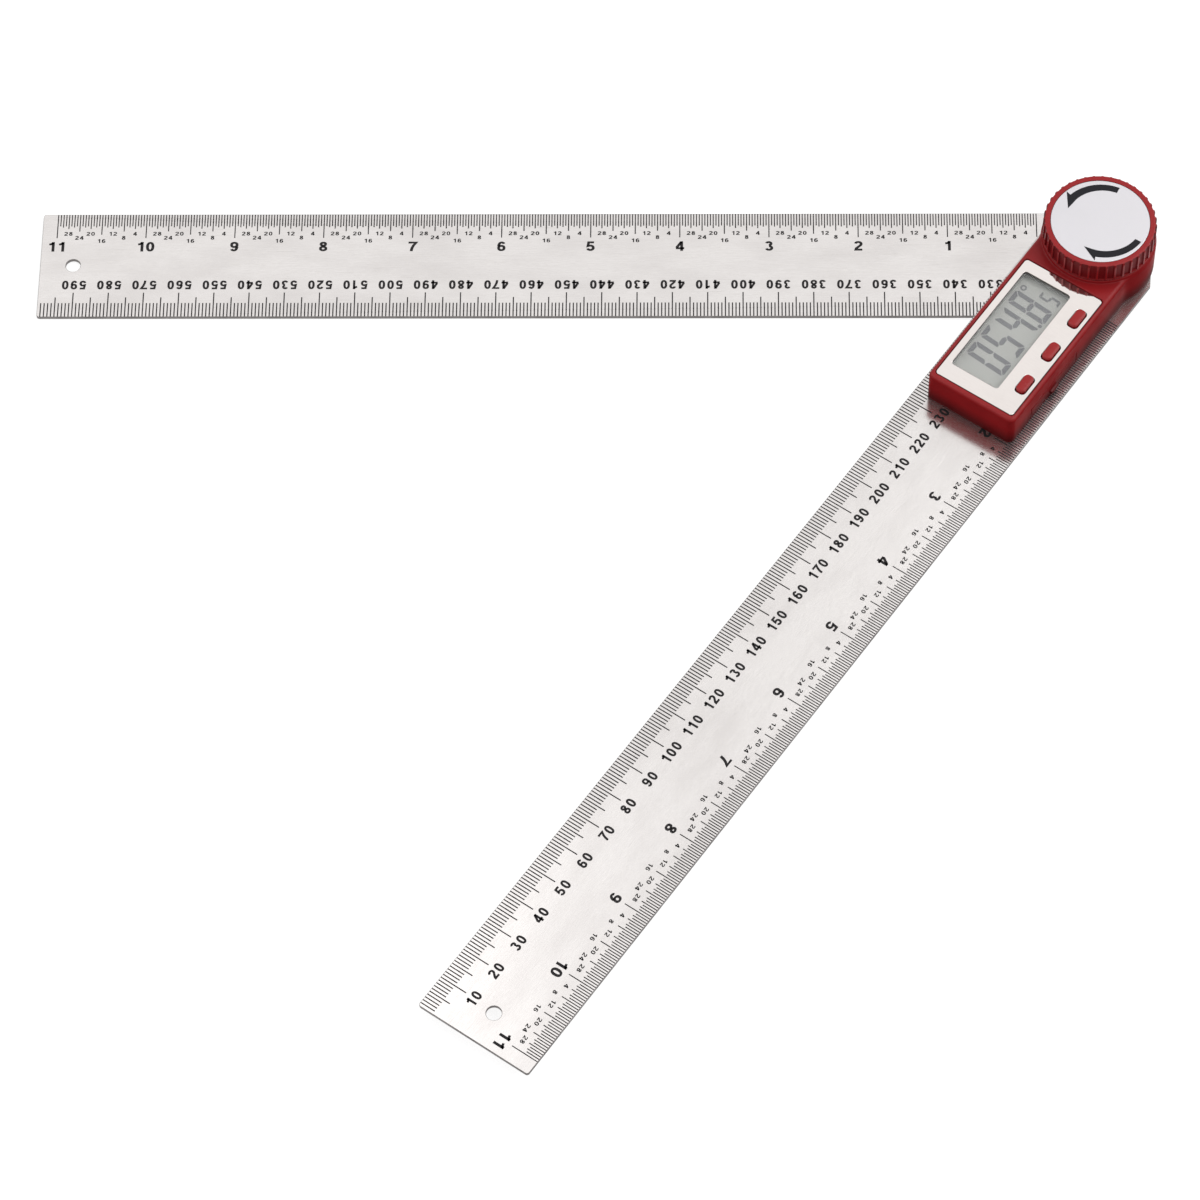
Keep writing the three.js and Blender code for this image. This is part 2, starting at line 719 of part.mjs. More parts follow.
// Flat spring strips: one on the base below the cell, one under the board above it.
function contactNegative() {
  const y = cellCentre;
  const bottom = trayBottom - seatGap / 2 - contactThickness;
  return block(trayCentre - contactLength / 2, trayCentre + contactLength / 2,
    y - contactWidth / 2, y + contactWidth / 2, bottom, bottom + contactThickness);
}

function contactPositive() {
  const top = boardBottom - seatGap;
  const bottom = trayTop + seatGap;
  const y = cellCentre;
  const lug = block(trayCentre - contactLength / 2, trayCentre - contactLength / 2 + contactLugLength,
    y - contactWidth / 2, y + contactWidth / 2, bottom, top);
  const strip = block(trayCentre - contactLength / 2, trayCentre + contactLength / 2,
    y - contactWidth / 2, y + contactWidth / 2, bottom, bottom + contactThickness);
  return join(strip, lug);
}

// Knob: rounded cap with flat flutes, hollow below, with a hub for the insert and a recess for the disc.
function knobBody() {
  const edge = knobEdgeRadius;
  const profile = [[0, knobBottom], [knobRadius, knobBottom]];
  for (const { x, y } of arcPoints(knobRadius - edge, knobTop - edge, edge, 0, Math.PI / 2, arcSteps)) {
    profile.push([x, y]);
  }
  profile.push([0, knobTop]);
  const cap = turned(profile, 2 * knobFluteCount);
  const pitch = (2 * Math.PI) / knobFluteCount;
  const half = (pitch * knobFluteShare) / 2;
  const floor = knobRadius - knobFluteDepth;
  const outside = knobRadius + overrun;
  const landPoints = [];
  for (let i = 0; i < knobFluteCount; i += 1) {
    const middle = pitch * i;
    for (const [radius, angle] of [
      [outside, middle - half], [floor, middle - half],
      [floor, middle + half], [outside, middle + half],
    ]) {
      landPoints.push(new THREE.Vector2(radius * Math.cos(angle), radius * Math.sin(angle)));
    }
  }
  const lands = prism(shapeOf(landPoints), knobBottom, knobTop + overrun);
  const flutes = cut(round(outside, knobBottom + knobBaseRing, knobTop + overrun), lands);
  const hollow = cut(
    round(knobRadius - knobWall, knobBottom - overrun, knobRoofBottom),
    round(knobHubRadius, thrustTop + seatGap, knobRoofBottom + overrun));
  const discRecess = round(knobDiscRadius + runningGap, discBottom - seatGap,
    knobTop + overrun, bigRoundSteps);
  const insertHole = round(insertRadius + runningGap, knobBottom - overrun, discBottom + overrun);
  return cut(cap, flutes, hollow, discRecess, insertHole);
}

function knobDisc() {
  return round(knobDiscRadius, discBottom, discBottom + knobDiscThickness, bigRoundSteps);
}

function knobInsert() {
  const bottom = thrustTop + seatGap;
  const top = discBottom - seatGap - seatGap;
  const middle = (bottom + top) / 2;
  const waist = insertRadius - insertGrooveDepth;
  const half = insertGrooveWidth / 2;
  const body = turned([
    [0, bottom], [insertRadius, bottom], [insertRadius, middle - half], [waist, middle - half],
    [waist, middle + half], [insertRadius, middle + half], [insertRadius, top], [0, top],
  ]);
  return cut(body, round(stemRadius + runningGap, bottom - overrun, top + overrun));
}

function thrustWasher() {
  return cut(round(thrustWasherRadius, thrustBottom, thrustTop),
    round(stemRadius + slipGap, thrustBottom - overrun, thrustTop + overrun));
}

// Assembly
const measuringArm = new THREE.Group();
measuringArm.rotation.z = Math.PI;
measuringArm.add(
  piece('measuring_blade', bladeSteel, measuringBlade()),
  piece('pivot_stud', brightSteel, pivotStud()),
  piece('friction_ring', paleNylon, frictionRing()),
  piece('encoder_rotor', boardGreen, encoderRotor()),
  piece('rotor_clip', brightSteel, rotorClip()),
);
hubScrewSpots.forEach(([x, y], i) => {
  measuringArm.add(piece(`hub_screw_${i + 1}`, brightSteel, countersunkScrew(
    hubScrewRadius, hubScrewHeadRadius, hubScrewHeadHeight, hubScrewReach, 0, x, y)));
});

const displayArm = new THREE.Group();
displayArm.rotation.z = Math.PI + THREE.MathUtils.degToRad(restAngle);
displayArm.add(
  piece('display_blade', bladeSteel, displayBlade()),
  piece('pivot_bush', brass, pivotBush()),
  piece('housing', redPlastic, housing()),
  piece('housing_base', blackPlastic, housingBase()),
  piece('faceplate', plateMetal, faceplate()),
  piece('lcd_window', clearPlastic, lcdWindow()),
  piece('lcd_panel', glassGrey, lcdPanel()),
  piece('connector_strip_left', stripRubber, connectorStrip(-1)),
  piece('connector_strip_right', stripRubber, connectorStrip(1)),
  piece('main_board', boardGreen, mainBoard()),
  piece('battery_tray', redPlastic, batteryTray()),
  piece('coin_cell', cellSteel, coinCell()),
  piece('contact_positive', springBronze, contactPositive()),
  piece('contact_negative', springBronze, contactNegative()),
);
buttonPlaces.forEach((place, i) => {
  displayArm.add(piece(`button_${buttonNames[i]}`, buttonPlastic, button(place)));
  displayArm.add(piece(`switch_${buttonNames[i]}`, blackPlastic, keySwitch(place)));
});
housingScrewSpots.forEach(([x, y], i) => {
  displayArm.add(piece(`housing_screw_${i + 1}`, brightSteel, countersunkScrew(
    housingScrewRadius, housingScrewHeadRadius, housingScrewHeadHeight,
    housingScrewReach, upperBottom, x, y)));
});
boardScrewPlaces.forEach((x, i) => {
  displayArm.add(piece(`board_screw_${i + 1}`, brightSteel, boardScrew(x)));
});

const knob = new THREE.Group();
knob.add(
  piece('knob', redPlastic, knobBody()),
  piece('knob_disc', plateMetal, knobDisc()),
  piece('knob_insert', brass, knobInsert()),
  piece('thrust_washer', paleNylon, thrustWasher()),
);

const angleFinder = new THREE.Group();
angleFinder.add(measuringArm, displayArm, knob);

export default angleFinder;
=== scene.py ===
# Digital angle finder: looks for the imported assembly, in Blender 4.5.
# Sizes are in millimetres in this file; meshes are written in metres, in the frame of the assembly.
# In an arm's own plan, x runs from the pivot to the tip and y runs across the arm.

import math

import bpy
from mathutils import Matrix, Vector
from mathutils.geometry import tessellate_polygon


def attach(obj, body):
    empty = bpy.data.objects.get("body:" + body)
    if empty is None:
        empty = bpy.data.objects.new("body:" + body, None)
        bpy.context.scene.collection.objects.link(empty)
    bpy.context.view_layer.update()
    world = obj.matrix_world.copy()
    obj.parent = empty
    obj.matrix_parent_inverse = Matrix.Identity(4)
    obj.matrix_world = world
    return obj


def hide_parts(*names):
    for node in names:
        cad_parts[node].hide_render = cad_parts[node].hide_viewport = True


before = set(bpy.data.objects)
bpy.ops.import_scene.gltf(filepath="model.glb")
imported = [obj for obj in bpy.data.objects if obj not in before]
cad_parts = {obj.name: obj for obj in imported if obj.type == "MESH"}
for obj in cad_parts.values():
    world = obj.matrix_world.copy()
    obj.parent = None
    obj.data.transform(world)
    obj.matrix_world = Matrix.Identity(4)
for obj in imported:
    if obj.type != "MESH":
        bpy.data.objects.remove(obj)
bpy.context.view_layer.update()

MM = 0.001
QUARTER = math.pi / 2
FULL_TURN = 2 * math.pi
SHARP_ANGLE = math.radians(38)

# Blades
BLADE_REACH = 300
BLADE_WIDTH = 35.3
BLADE_HALF = BLADE_WIDTH / 2
BLADE_THICKNESS = 1.1
BLADE_EDGE = 0.12
BLADE_END_INSET = 2.05
BLADE_SHOULDER_TURN = math.radians(30)
TIP_CORNER = 0.8
HANG_HOLE_RADIUS = 2.1
HANG_HOLE_PLACE = 290.6
REST_ANGLE = 55.2
UPPER_BOTTOM = 2.83
UPPER_TOP = UPPER_BOTTOM + BLADE_THICKNESS
BUSH_HOLE_RADIUS = 5.2
HUB_SCREW_PITCH_RADIUS = 6.6
HUB_SCREW_HEAD_RADIUS = 1.8
HOUSING_SCREW_SPOTS = [(13.2, -9.6), (13.2, 10.0), (62.9, -9.6), (62.9, 10.0)]
HOUSING_SCREW_HEAD_RADIUS = 1.9
SCREW_SEAT_GAP = 0.1
SCREW_SEAT_DEPTH = 0.85

# Head
HEAD_BOTTOM = 4.03
HEAD_TOP = 14.93
HEAD_FRONT = 66.4
HEAD_LEFT = -13.95
HEAD_RIGHT = 14.35
HEAD_MIDDLE = 0.2
HEAD_CORNER = 1.9
HEAD_EDGE = 1.0
HEAD_LOW_EDGE = 0.25
HEAD_WALL = 1.6
CEILING = 12.93
BOSS_BASE_RADIUS = 16.3
BOSS_TOP_RADIUS = 16.1
BOSS_TOP = 15.83
BOSS_EDGE = 0.5
BOSS_ROOF = 1.6
BOSS_BLEND = 6.0
STUD_HOLE_RADIUS = 3.1
POST_RADIUS = 2.2
POST_BOTTOM = 5.13
POST_OVERLAP = 0.5
OVERRUN = 1

# Faceplate, window and display
PLATE = (18, 64.35, -12.5, 12.9)
PLATE_CORNER = 1.0
PLATE_BOTTOM = 14.23
PLATE_TOP = 14.83
PLATE_GAP = 0.25
PLATE_EDGE = 0.08
PLATE_SEAT_GAP = 0.1
WINDOW = (21.6, 59.3, -10.55, 4.65)
WINDOW_CORNER = 0.9
WINDOW_BORDER = 1.1
WINDOW_HOLE_GAP = 0.25
WINDOW_BOTTOM = 13.53
WINDOW_TOP = 14.13
PANEL_BOTTOM = 11.83
PANEL_TOP = 13.43
PANEL_FACE = 12.43
GLASS_EDGE = 0.05
BEZEL_SINK = 0.2

# Digits of the display, read from the tip towards the pivot. Starts are their left sides.
SEGMENTS = {"0": "abcdef", "4": "bcfg", "5": "acdfg", "8": "abcdefg"}
LARGE_STARTS = {"0": 53.8, "5": 46.85, "4": 39.9, "8": 32.95}
LARGE_DIGIT = {"foot": 2.98, "width": 5.1, "height": 12.8, "stroke": 1.45, "lean": 0.073}
SMALL_START = 26.0
SMALL_DIGIT = {"foot": 2.9, "width": 2.4, "height": 6.3, "stroke": 0.72, "lean": 0.05}
SEGMENT_GAP_SHARE = 0.11
SEGMENT_CUT_SHARE = 0.42
POINT = (33.75, 2.3, 0.6)
POINT_STEPS = 24
RING_CENTRE = (25.4, -8.5)
RING_OUTER_RADIUS = 0.95
RING_INNER_RADIUS = 0.45
RING_STEPS = 32
SEGMENT_SINK = 0.005
SEGMENT_RISE = 0.02

# Buttons
BUTTON_PLACES = {"zero": 53.7, "hold": 40.5, "power": 27.1}
BUTTON_MIDDLE = 10.15
BUTTON_LENGTH = 6.2
BUTTON_WIDTH = 2.9
BUTTON_CORNER = 1.2
BUTTON_EDGE = 0.5
BUTTON_TOP = 15.83
BUTTON_FLANGE_BOTTOM = 12.33
BUTTON_FLANGE_TOP = 12.83
BUTTON_FLANGE_BORDER = 0.6
BUTTON_FLANGE_INSET = 0.3
BUTTON_HOLE_GAP = 0.25

# Mouth of the battery tray
TRAY_CENTRE = 44.8
TRAY_HALF = 11.6
TRAY_MOUTH_BOTTOM = 5.18
TRAY_MOUTH_TOP = 9.38

# Knob
KNOB_BOTTOM = 16.13
KNOB_TOP = 22.33
KNOB_RADIUS = 15.95
KNOB_FLUTE_COUNT = 40
KNOB_FLUTE_SHARE = 0.72
KNOB_FLUTE = 0.5
KNOB_BASE_RING = 0.25
KNOB_EDGE = 0.8
KNOB_FOOT_EDGE = 0.2
KNOB_FLUTE_SHOULDER = 0.09
KNOB_FLUTE_LIP = 0.2
KNOB_INNER_RADIUS = 13.95
KNOB_ROOF_BOTTOM = 20.08
KNOB_HUB_RADIUS = 6.0
KNOB_HUB_BOTTOM = 16.73
INSERT_HOLE_RADIUS = 4.5
DISC_RADIUS = 13.9
DISC_BOTTOM = 21.78
DISC_TOP = 22.28
DISC_RECESS_FLOOR = 21.68
DISC_GAP = 0.1
DISC_RECESS_EDGE = 0.06
DISC_EDGE = 0.12

# Printing
INK_SINK = 0.01
INK_RISE = 0.012
INCH = 25.4
ZERO_INCH_PLACE = 16.35
TICK_WIDTH = 0.34
INCH_TICK_WIDTH = 0.3
SCALE_START = 20
INCH_COUNT = 11
INCH_PARTS = 32
# Length of a tick, by the largest division that it falls on
MM_TICK_LENGTHS = {10: 8.25, 5: 6.65, 1: 4.7}
INCH_TICK_LENGTHS = {32: 8.2, 16: 7.0, 8: 5.9, 4: 5.0, 2: 4.5, 1: 4.1}
# Height of a number, then its stroke, stretch and spacing as shares
MM_NUMBERS = (3.0, 0.205, 1.08, 0.2)
INCH_NUMBERS = (3.3, 0.2, 1.25, 0.12)
PART_NUMBERS = (1.3, 0.19, 1.4, 0.22)
# Distance of a number's middle from the blade's edge
MM_NUMBER_INSET = 10.9
INCH_NUMBER_INSET = 11.2
PART_NUMBER_INSETS = {4: 6.7, 12: 6.7, 20: 6.7, 28: 6.7, 8: 8.1, 24: 8.1, 16: 9.2}
DIGIT_WIDTH = 0.58
STROKE_STEPS = 14

# Painted shade: a darker band low on the housing's walls
PAINTED_LOW_SHADE = 0.85
PAINTED_LOW_SHADE_TOP = 10.0
PAINTED_LOW_SHADE_BOTTOM = 5.5

# Studio, in metres
FLOOR_REACH = 3.0
FLOOR_HEIGHT = -0.0002
FLOOR_GLOW = 0.78
SKY_LIGHT = 0.4
WHITE = (1, 1, 1, 1)
LIGHT_TARGET = (-0.1, -0.1, 0)

# Camera, from the fit to the printed scales
CAMERA_LENS = 160.87
CAMERA_SENSOR = 36
CAMERA_CLIP_END = 20
CAMERA_RIGHT = (0.99981279, 0.00996242, -0.01658728)
CAMERA_UP = (0.0000269, 0.85654773, 0.51606782)
CAMERA_BACK = (0.01934908, -0.51597165, 0.8563871)
CAMERA_PLACE = (-0.111118, -0.867619, 1.256616)

MEASURING_TURN = math.pi
DISPLAY_TURN = math.pi + math.radians(REST_ANGLE)
MEASURING = Matrix.Rotation(MEASURING_TURN, 4, "Z")
DISPLAY = Matrix.Rotation(DISPLAY_TURN, 4, "Z")
CENTRED = Matrix.Identity(4)


# Colours

def linear(red, green, blue):
    """Turn a colour read on a 0 to 255 scale into a shader colour."""
    def channel(value):
        share = value / 255
        return share / 12.92 if share <= 0.04045 else ((share + 0.055) / 1.055) ** 2.4
    return (channel(red), channel(green), channel(blue), 1.0)


# Mesh code

class Solid:
    """Points and faces of one piece, gathered in millimetres."""

    def __init__(self):
        self.points = []
        self.faces = []

    def add(self, points, faces):
        start = len(self.points)
        self.points.extend(points)
        self.faces.extend([tuple(start + i for i in face) for face in faces])

    def mesh(self, name, place):
        mesh = bpy.data.meshes.new(name)
        mesh.from_pydata([place @ Vector(point) * MM for point in self.points], [], self.faces)
        mesh.validate()
        mesh.update()
        return mesh


def arc(x, y, radius, start, end, steps):
    return [(x + radius * math.cos(start + (end - start) * i / steps),
             y + radius * math.sin(start + (end - start) * i / steps)) for i in range(steps + 1)]


def circle(x, y, radius, steps=64):
    return arc(x, y, radius, 0, FULL_TURN * (steps - 1) / steps, steps - 1)


def rounded_rectangle(sides, radius, border=0.0):
    steps = 10
    x0, x1, y0, y1 = sides[0] - border, sides[1] + border, sides[2] - border, sides[3] + border
    return (arc(x1 - radius, y0 + radius, radius, -QUARTER, 0, steps)
            + arc(x1 - radius, y1 - radius, radius, 0, QUARTER, steps)
            + arc(x0 + radius, y1 - radius, radius, QUARTER, math.pi, steps)
            + arc(x0 + radius, y0 + radius, radius, math.pi, math.pi + QUARTER, steps))


def edge_layers(bottom, top, low_edge, high_edge, steps):
    """Layers of (inset, height) with a quarter round at the bottom, the top or both."""
    layers = []
    if low_edge:
        for i in range(steps + 1):
            turn = QUARTER * i / steps
            layers.append((low_edge * (1 - math.sin(turn)),
                           bottom + low_edge * (1 - math.cos(turn))))
    else:
        layers.append((0.0, bottom))
    if high_edge:
        for i in range(steps + 1):
            turn = QUARTER * i / steps
            layers.append((high_edge * (1 - math.cos(turn)),
                           top - high_edge * (1 - math.sin(turn))))
    else:
        layers.append((0.0, top))
    return layers


def slab(outline, layers, holes=()):
    """A closed sheet. outline(inset) and each hole(inset, height) give a loop for every layer."""
    solid = Solid()
    loops = [(lambda inset, height: outline(inset), 1)] + [(hole, -1) for hole in holes]
    bottom_loops, top_loops = [], []
    for loop, side in loops:
        rings = [[(x, y, height) for x, y in loop(inset, height)] for inset, height in layers]
        count = len(rings[0])
        start = len(solid.points)
        faces = []
        for level in range(len(rings) - 1):
            for i in range(count):
                a, b = level * count + i, level * count + (i + 1) % count
                quad = (a, b, b + count, a + count)
                faces.append(quad if side > 0 else quad[::-1])
        solid.add([point for ring in rings for point in ring], faces)
        bottom_loops.append((start, rings[0]))
        top_loops.append((start + (len(rings) - 1) * count, rings[-1]))
    for caps, upward in ((bottom_loops, False), (top_loops, True)):
        places = [start + i for start, ring in caps for i in range(len(ring))]
        for triangle in tessellate_polygon([[Vector(point) for point in ring] for _, ring in caps]):
            corners = [places[i] for i in triangle]
            a, b, c = (Vector(solid.points[i]) for i in corners)
            if ((b - a).cross(c - a).z > 0) != upward:
                corners.reverse()
            solid.faces.append(tuple(corners))
    return solid


def turned(profile, steps, x=0.0, y=0.0):
    """A closed turned shape from (radius, height) pairs, bottom first, on the axis at both ends."""
    solid = Solid()
    inner = profile[1:-1]
    rings = [[(px, py, height) for px, py in circle(x, y, radius, steps)]
             for radius, height in inner]
    faces = []
    for level in range(len(rings) - 1):
        for i in range(steps):
            a, b = level * steps + i, level * steps + (i + 1) % steps
            faces.append((a, b, b + steps, a + steps))
    last = (len(rings) - 1) * steps
    faces.append(tuple(range(steps))[::-1])
    faces.append(tuple(range(last, last + steps)))
    solid.add([point for ring in rings for point in ring], faces)
    return solid


def box(x0, x1, y0, y1, bottom, top):
    solid = Solid()
    corners = ((x0, y0), (x1, y0), (x1, y1), (x0, y1))
    solid.add([(x, y, z) for z in (bottom, top) for x, y in corners],
              [(3, 2, 1, 0), (4, 5, 6, 7), (0, 1, 5, 4), (1, 2, 6, 5), (2, 3, 7, 6), (3, 0, 4, 7)])
    return solid


def level_caps(mesh):
    """Corner normals that keep the flat faces on top and below flat up to their rims."""
    normals = [Vector(corner.vector) for corner in mesh.corner_normals]
    upright = {}
    for face in mesh.polygons:
        if abs(face.normal.z) > 0.9999:
            for place in face.vertices:
                upright[place] = Vector((0, 0, math.copysign(1, face.normal.z)))
    for face in mesh.polygons:
        for corner in face.loop_indices:
            place = mesh.loops[corner].vertex_index
            if place in upright and face.normal.dot(upright[place]) > 0.8:
                normals[corner] = upright[place]
    mesh.normals_split_custom_set(normals)


def smooth(mesh):
    mesh.polygons.foreach_set("use_smooth", [True] * len(mesh.polygons))
    mesh.set_sharp_from_angle(angle=SHARP_ANGLE)


def dress(name, mesh, material, body, replaces=(), weighted=True, edge_material=None,
          level=False):
    """Put a mesh in the scene on its body. Faces that don't lie flat take the edge material."""
    smooth(mesh)
    mesh.materials.append(material)
    if edge_material is not None:
        mesh.materials.append(edge_material)
        for face in mesh.polygons:
            face.material_index = 1 if abs(face.normal.z) < 0.97 else 0
    piece = bpy.data.objects.new(name, mesh)
    bpy.context.scene.collection.objects.link(piece)
    if level:
        level_caps(mesh)
    elif weighted:
        weigher = piece.modifiers.new("flat_faces", "WEIGHTED_NORMAL")
        weigher.keep_sharp = True
        weigher.weight = 90
    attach(piece, body)
    if replaces:
        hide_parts(*replaces)
    return piece


def combined(name, place, first, joined=(), removed=()):
    """Join and cut solids, and give the resulting mesh."""
    scene_collection = bpy.context.scene.collection

    def helper(solid):
        item = bpy.data.objects.new("helper", solid.mesh("helper", CENTRED))
        scene_collection.objects.link(item)
        return item

    base = helper(first)
    helpers = []
    for operation, solids in (("UNION", joined), ("DIFFERENCE", removed)):
        for solid in solids:
            other = helper(solid)
            helpers.append(other)
            step = base.modifiers.new("step", "BOOLEAN")
            step.operation = operation
            step.object = other
            step.solver = "EXACT"
    depsgraph = bpy.context.evaluated_depsgraph_get()
    mesh = bpy.data.meshes.new_from_object(base.evaluated_get(depsgraph))
    for item in [base] + helpers:
        bpy.data.objects.remove(item)
    mesh.transform(place)
    mesh.name = name
    return mesh


# Materials

class Finish:
    """A node material in the making."""

    def __init__(self, name, color, roughness, metallic=0.0):
        self.material = bpy.data.materials.new(name)
        self.material.use_nodes = True
        self.nodes = self.material.node_tree.nodes
        self.links = self.material.node_tree.links
        self.shader = self.nodes["Principled BSDF"]
        self.color = color
        self.shader.inputs["Base Color"].default_value = color
        self.shader.inputs["Roughness"].default_value = roughness
        self.shader.inputs["Metallic"].default_value = metallic
        self.roughness = roughness
        self.height = None
        self.coordinates = self.nodes.new("ShaderNodeTexCoord")

    def mapped(self, scale, turn=0.0):
        """Object coordinates in metres, turned about Z and scaled per axis."""
        turned_map = self.nodes.new("ShaderNodeMapping")
        turned_map.vector_type = "POINT"
        turned_map.inputs["Rotation"].default_value = (0, 0, -turn)
        scaled_map = self.nodes.new("ShaderNodeMapping")
        scaled_map.inputs["Scale"].default_value = scale
        self.links.new(self.coordinates.outputs["Object"], turned_map.inputs["Vector"])
        self.links.new(turned_map.outputs["Vector"], scaled_map.inputs["Vector"])
        return scaled_map.outputs["Vector"]

    def noise(self, scale, turn=0.0, detail=3.0, rough=0.55):
        texture = self.nodes.new("ShaderNodeTexNoise")
        texture.inputs["Scale"].default_value = 1.0
        texture.inputs["Detail"].default_value = detail
        texture.inputs["Roughness"].default_value = rough
        self.links.new(self.mapped(scale, turn), texture.inputs["Vector"])
        return texture.outputs["Fac"]

    def level(self):
        """Height above the bench, in metres."""
        axes = self.nodes.new("ShaderNodeSeparateXYZ")
        self.links.new(self.coordinates.outputs["Object"], axes.inputs["Vector"])
        return axes.outputs["Z"]

    def ranged(self, source, low, high, start=0.3, end=0.7):
        span = self.nodes.new("ShaderNodeMapRange")
        span.inputs["From Min"].default_value = start
        span.inputs["From Max"].default_value = end
        span.inputs["To Min"].default_value = low
        span.inputs["To Max"].default_value = high
        self.links.new(source, span.inputs["Value"])
        return span.outputs["Result"]

    def vary_roughness(self, source, spread):
        self.links.new(self.ranged(source, self.roughness - spread, self.roughness + spread),
                       self.shader.inputs["Roughness"])

    def vary_color(self, *layers):
        """Each layer (source, colour, strength, start, end) blends a colour over the last."""
        current = None
        for source, color, strength, start, end in layers:
            blend = self.nodes.new("ShaderNodeMix")
            blend.data_type = "RGBA"
            self.links.new(self.ranged(source, 0.0, strength, start, end), blend.inputs["Factor"])
            if current is None:
                blend.inputs[6].default_value = self.color
            else:
                self.links.new(current, blend.inputs[6])
            blend.inputs[7].default_value = color
            current = blend.outputs[2]
        self.links.new(current, self.shader.inputs["Base Color"])

    def bump(self, source, distance):
        node = self.nodes.new("ShaderNodeBump")
        node.inputs["Distance"].default_value = distance * MM
        self.links.new(source, node.inputs["Height"])
        if self.height is not None:
            self.links.new(self.height, node.inputs["Normal"])
        self.height = node.outputs["Normal"]
        self.links.new(self.height, self.shader.inputs["Normal"])

    def rounded_edges(self, radius):
        node = self.nodes.new("ShaderNodeBevel")
        node.samples = 6
        node.inputs["Radius"].default_value = radius * MM
        self.height = node.outputs["Normal"]
        self.links.new(self.height, self.shader.inputs["Normal"])


def per_mm(*sizes):
    """Texture scales from the size of a grain along each axis, in millimetres."""
    return tuple(1 / (size * MM) for size in sizes)


def brushed_steel(name, turn):
    finish = Finish(name, linear(228, 224, 222), 0.17, 0.9)
    streaks = finish.noise(per_mm(5, 0.26, 2), turn, 4, 0.6)
    fine = finish.noise(per_mm(1.8, 0.11, 1), turn, 2)
    clouds = finish.noise(per_mm(22, 9, 9), turn, 3)
    scratches = finish.noise(per_mm(14, 0.16, 2), turn, 1)
    finish.vary_color(
        (streaks, linear(208, 203, 200), 0.5, 0.42, 0.75),
        (fine, linear(246, 243, 241), 0.4, 0.4, 0.75),
        (clouds, linear(206, 201, 199), 0.42, 0.4, 0.7),
        (scratches, linear(184, 179, 176), 0.45, 0.68, 0.8),
    )
    finish.vary_roughness(streaks, 0.03)
    finish.bump(streaks, 0.0015)
    finish.bump(fine, 0.0008)
    return finish.material


def moulded_plastic(name, color, dark, light, roughness, shine, grain=0.22, wall_shine=None,
                    edge=0.18, painted_low_shade_color=None):
    finish = Finish(name, color, roughness)
    finish.rounded_edges(edge)
    pores = finish.noise(per_mm(grain, grain, grain), 0, 3)
    handling = finish.noise(per_mm(7, 7, 7), 0, 4)
    rubs = finish.noise(per_mm(3, 1.1, 1.1), 0.6, 5, 0.65)
    layers = [(handling, dark, 0.5, 0.35, 0.75), (rubs, light, 0.3, 0.6, 0.8)]
    # Painted shade: the colour darkens towards the bottom of the walls.
    if painted_low_shade_color is not None:
        layers.append((finish.level(), painted_low_shade_color, PAINTED_LOW_SHADE,
                       PAINTED_LOW_SHADE_TOP * MM, PAINTED_LOW_SHADE_BOTTOM * MM))
    finish.vary_color(*layers)
    finish.vary_roughness(handling, 0.05)
    finish.bump(pores, 0.006)
    shine_input = finish.shader.inputs["Specular IOR Level"]
    if wall_shine is None:
        shine_input.default_value = shine
    else:
        facing = finish.nodes.new("ShaderNodeNewGeometry")
        axes = finish.nodes.new("ShaderNodeSeparateXYZ")
        finish.links.new(facing.outputs["Normal"], axes.inputs["Vector"])
        finish.links.new(finish.ranged(axes.outputs["Z"], wall_shine, shine, 0.35, 0.9),
                         shine_input)
    return finish.material


def ink(name, color):
    finish = Finish(name, color, 0.55)
    speckle = finish.noise(per_mm(0.12, 0.12, 0.12))
    finish.vary_color((speckle, linear(86, 82, 82), 0.4, 0.6, 0.85))
    finish.vary_roughness(speckle, 0.08)
    finish.bump(speckle, 0.002)
    finish.shader.inputs["Specular IOR Level"].default_value = 0.12
    return finish.material


def worn_metal(name, color, dark, roughness, grain=(0.4, 0.4, 0.4), turn=0.0, edges=0.0,
               smudge=0.3):
    finish = Finish(name, color, roughness, 1.0)
    if edges:
        finish.rounded_edges(edges)
    fine = finish.noise(per_mm(*grain), turn, 3)
    smudges = finish.noise(per_mm(6, 6, 6), 0, 4)
    finish.vary_color((fine, dark, 0.25, 0.45, 0.8), (smudges, dark, smudge, 0.45, 0.75))
    finish.vary_roughness(smudges, roughness * smudge)
    finish.bump(fine, 0.002)
    return finish.material


def circuit_board():
    finish = Finish("circuit_board_green", linear(28, 86, 50), 0.42)
    tracks = finish.nodes.new("ShaderNodeTexVoronoi")
    tracks.feature = "DISTANCE_TO_EDGE"
    tracks.inputs["Scale"].default_value = 1.0
    finish.links.new(finish.mapped(per_mm(2.2, 2.2, 40), math.radians(REST_ANGLE)),
                     tracks.inputs["Vector"])
    mottle = finish.noise(per_mm(1.5, 1.5, 1.5))
    finish.vary_color((mottle, linear(20, 66, 38), 0.6, 0.35, 0.7),
                      (tracks.outputs["Distance"], linear(58, 126, 74), 0.7, 0.12, 0.05))
    finish.vary_roughness(mottle, 0.08)
    finish.bump(tracks.outputs["Distance"], 0.02)
    return finish.material


def display_glass(name, color, dark):
    finish = Finish(name, color, 0.35)
    weave = finish.noise(per_mm(0.09, 0.09, 0.09), 0, 2)
    shade = finish.noise(per_mm(22, 22, 22), 0, 2)
    finish.vary_color((weave, dark, 0.3, 0.4, 0.75), (shade, dark, 0.35, 0.35, 0.75))
    finish.vary_roughness(weave, 0.05)
    return finish.material


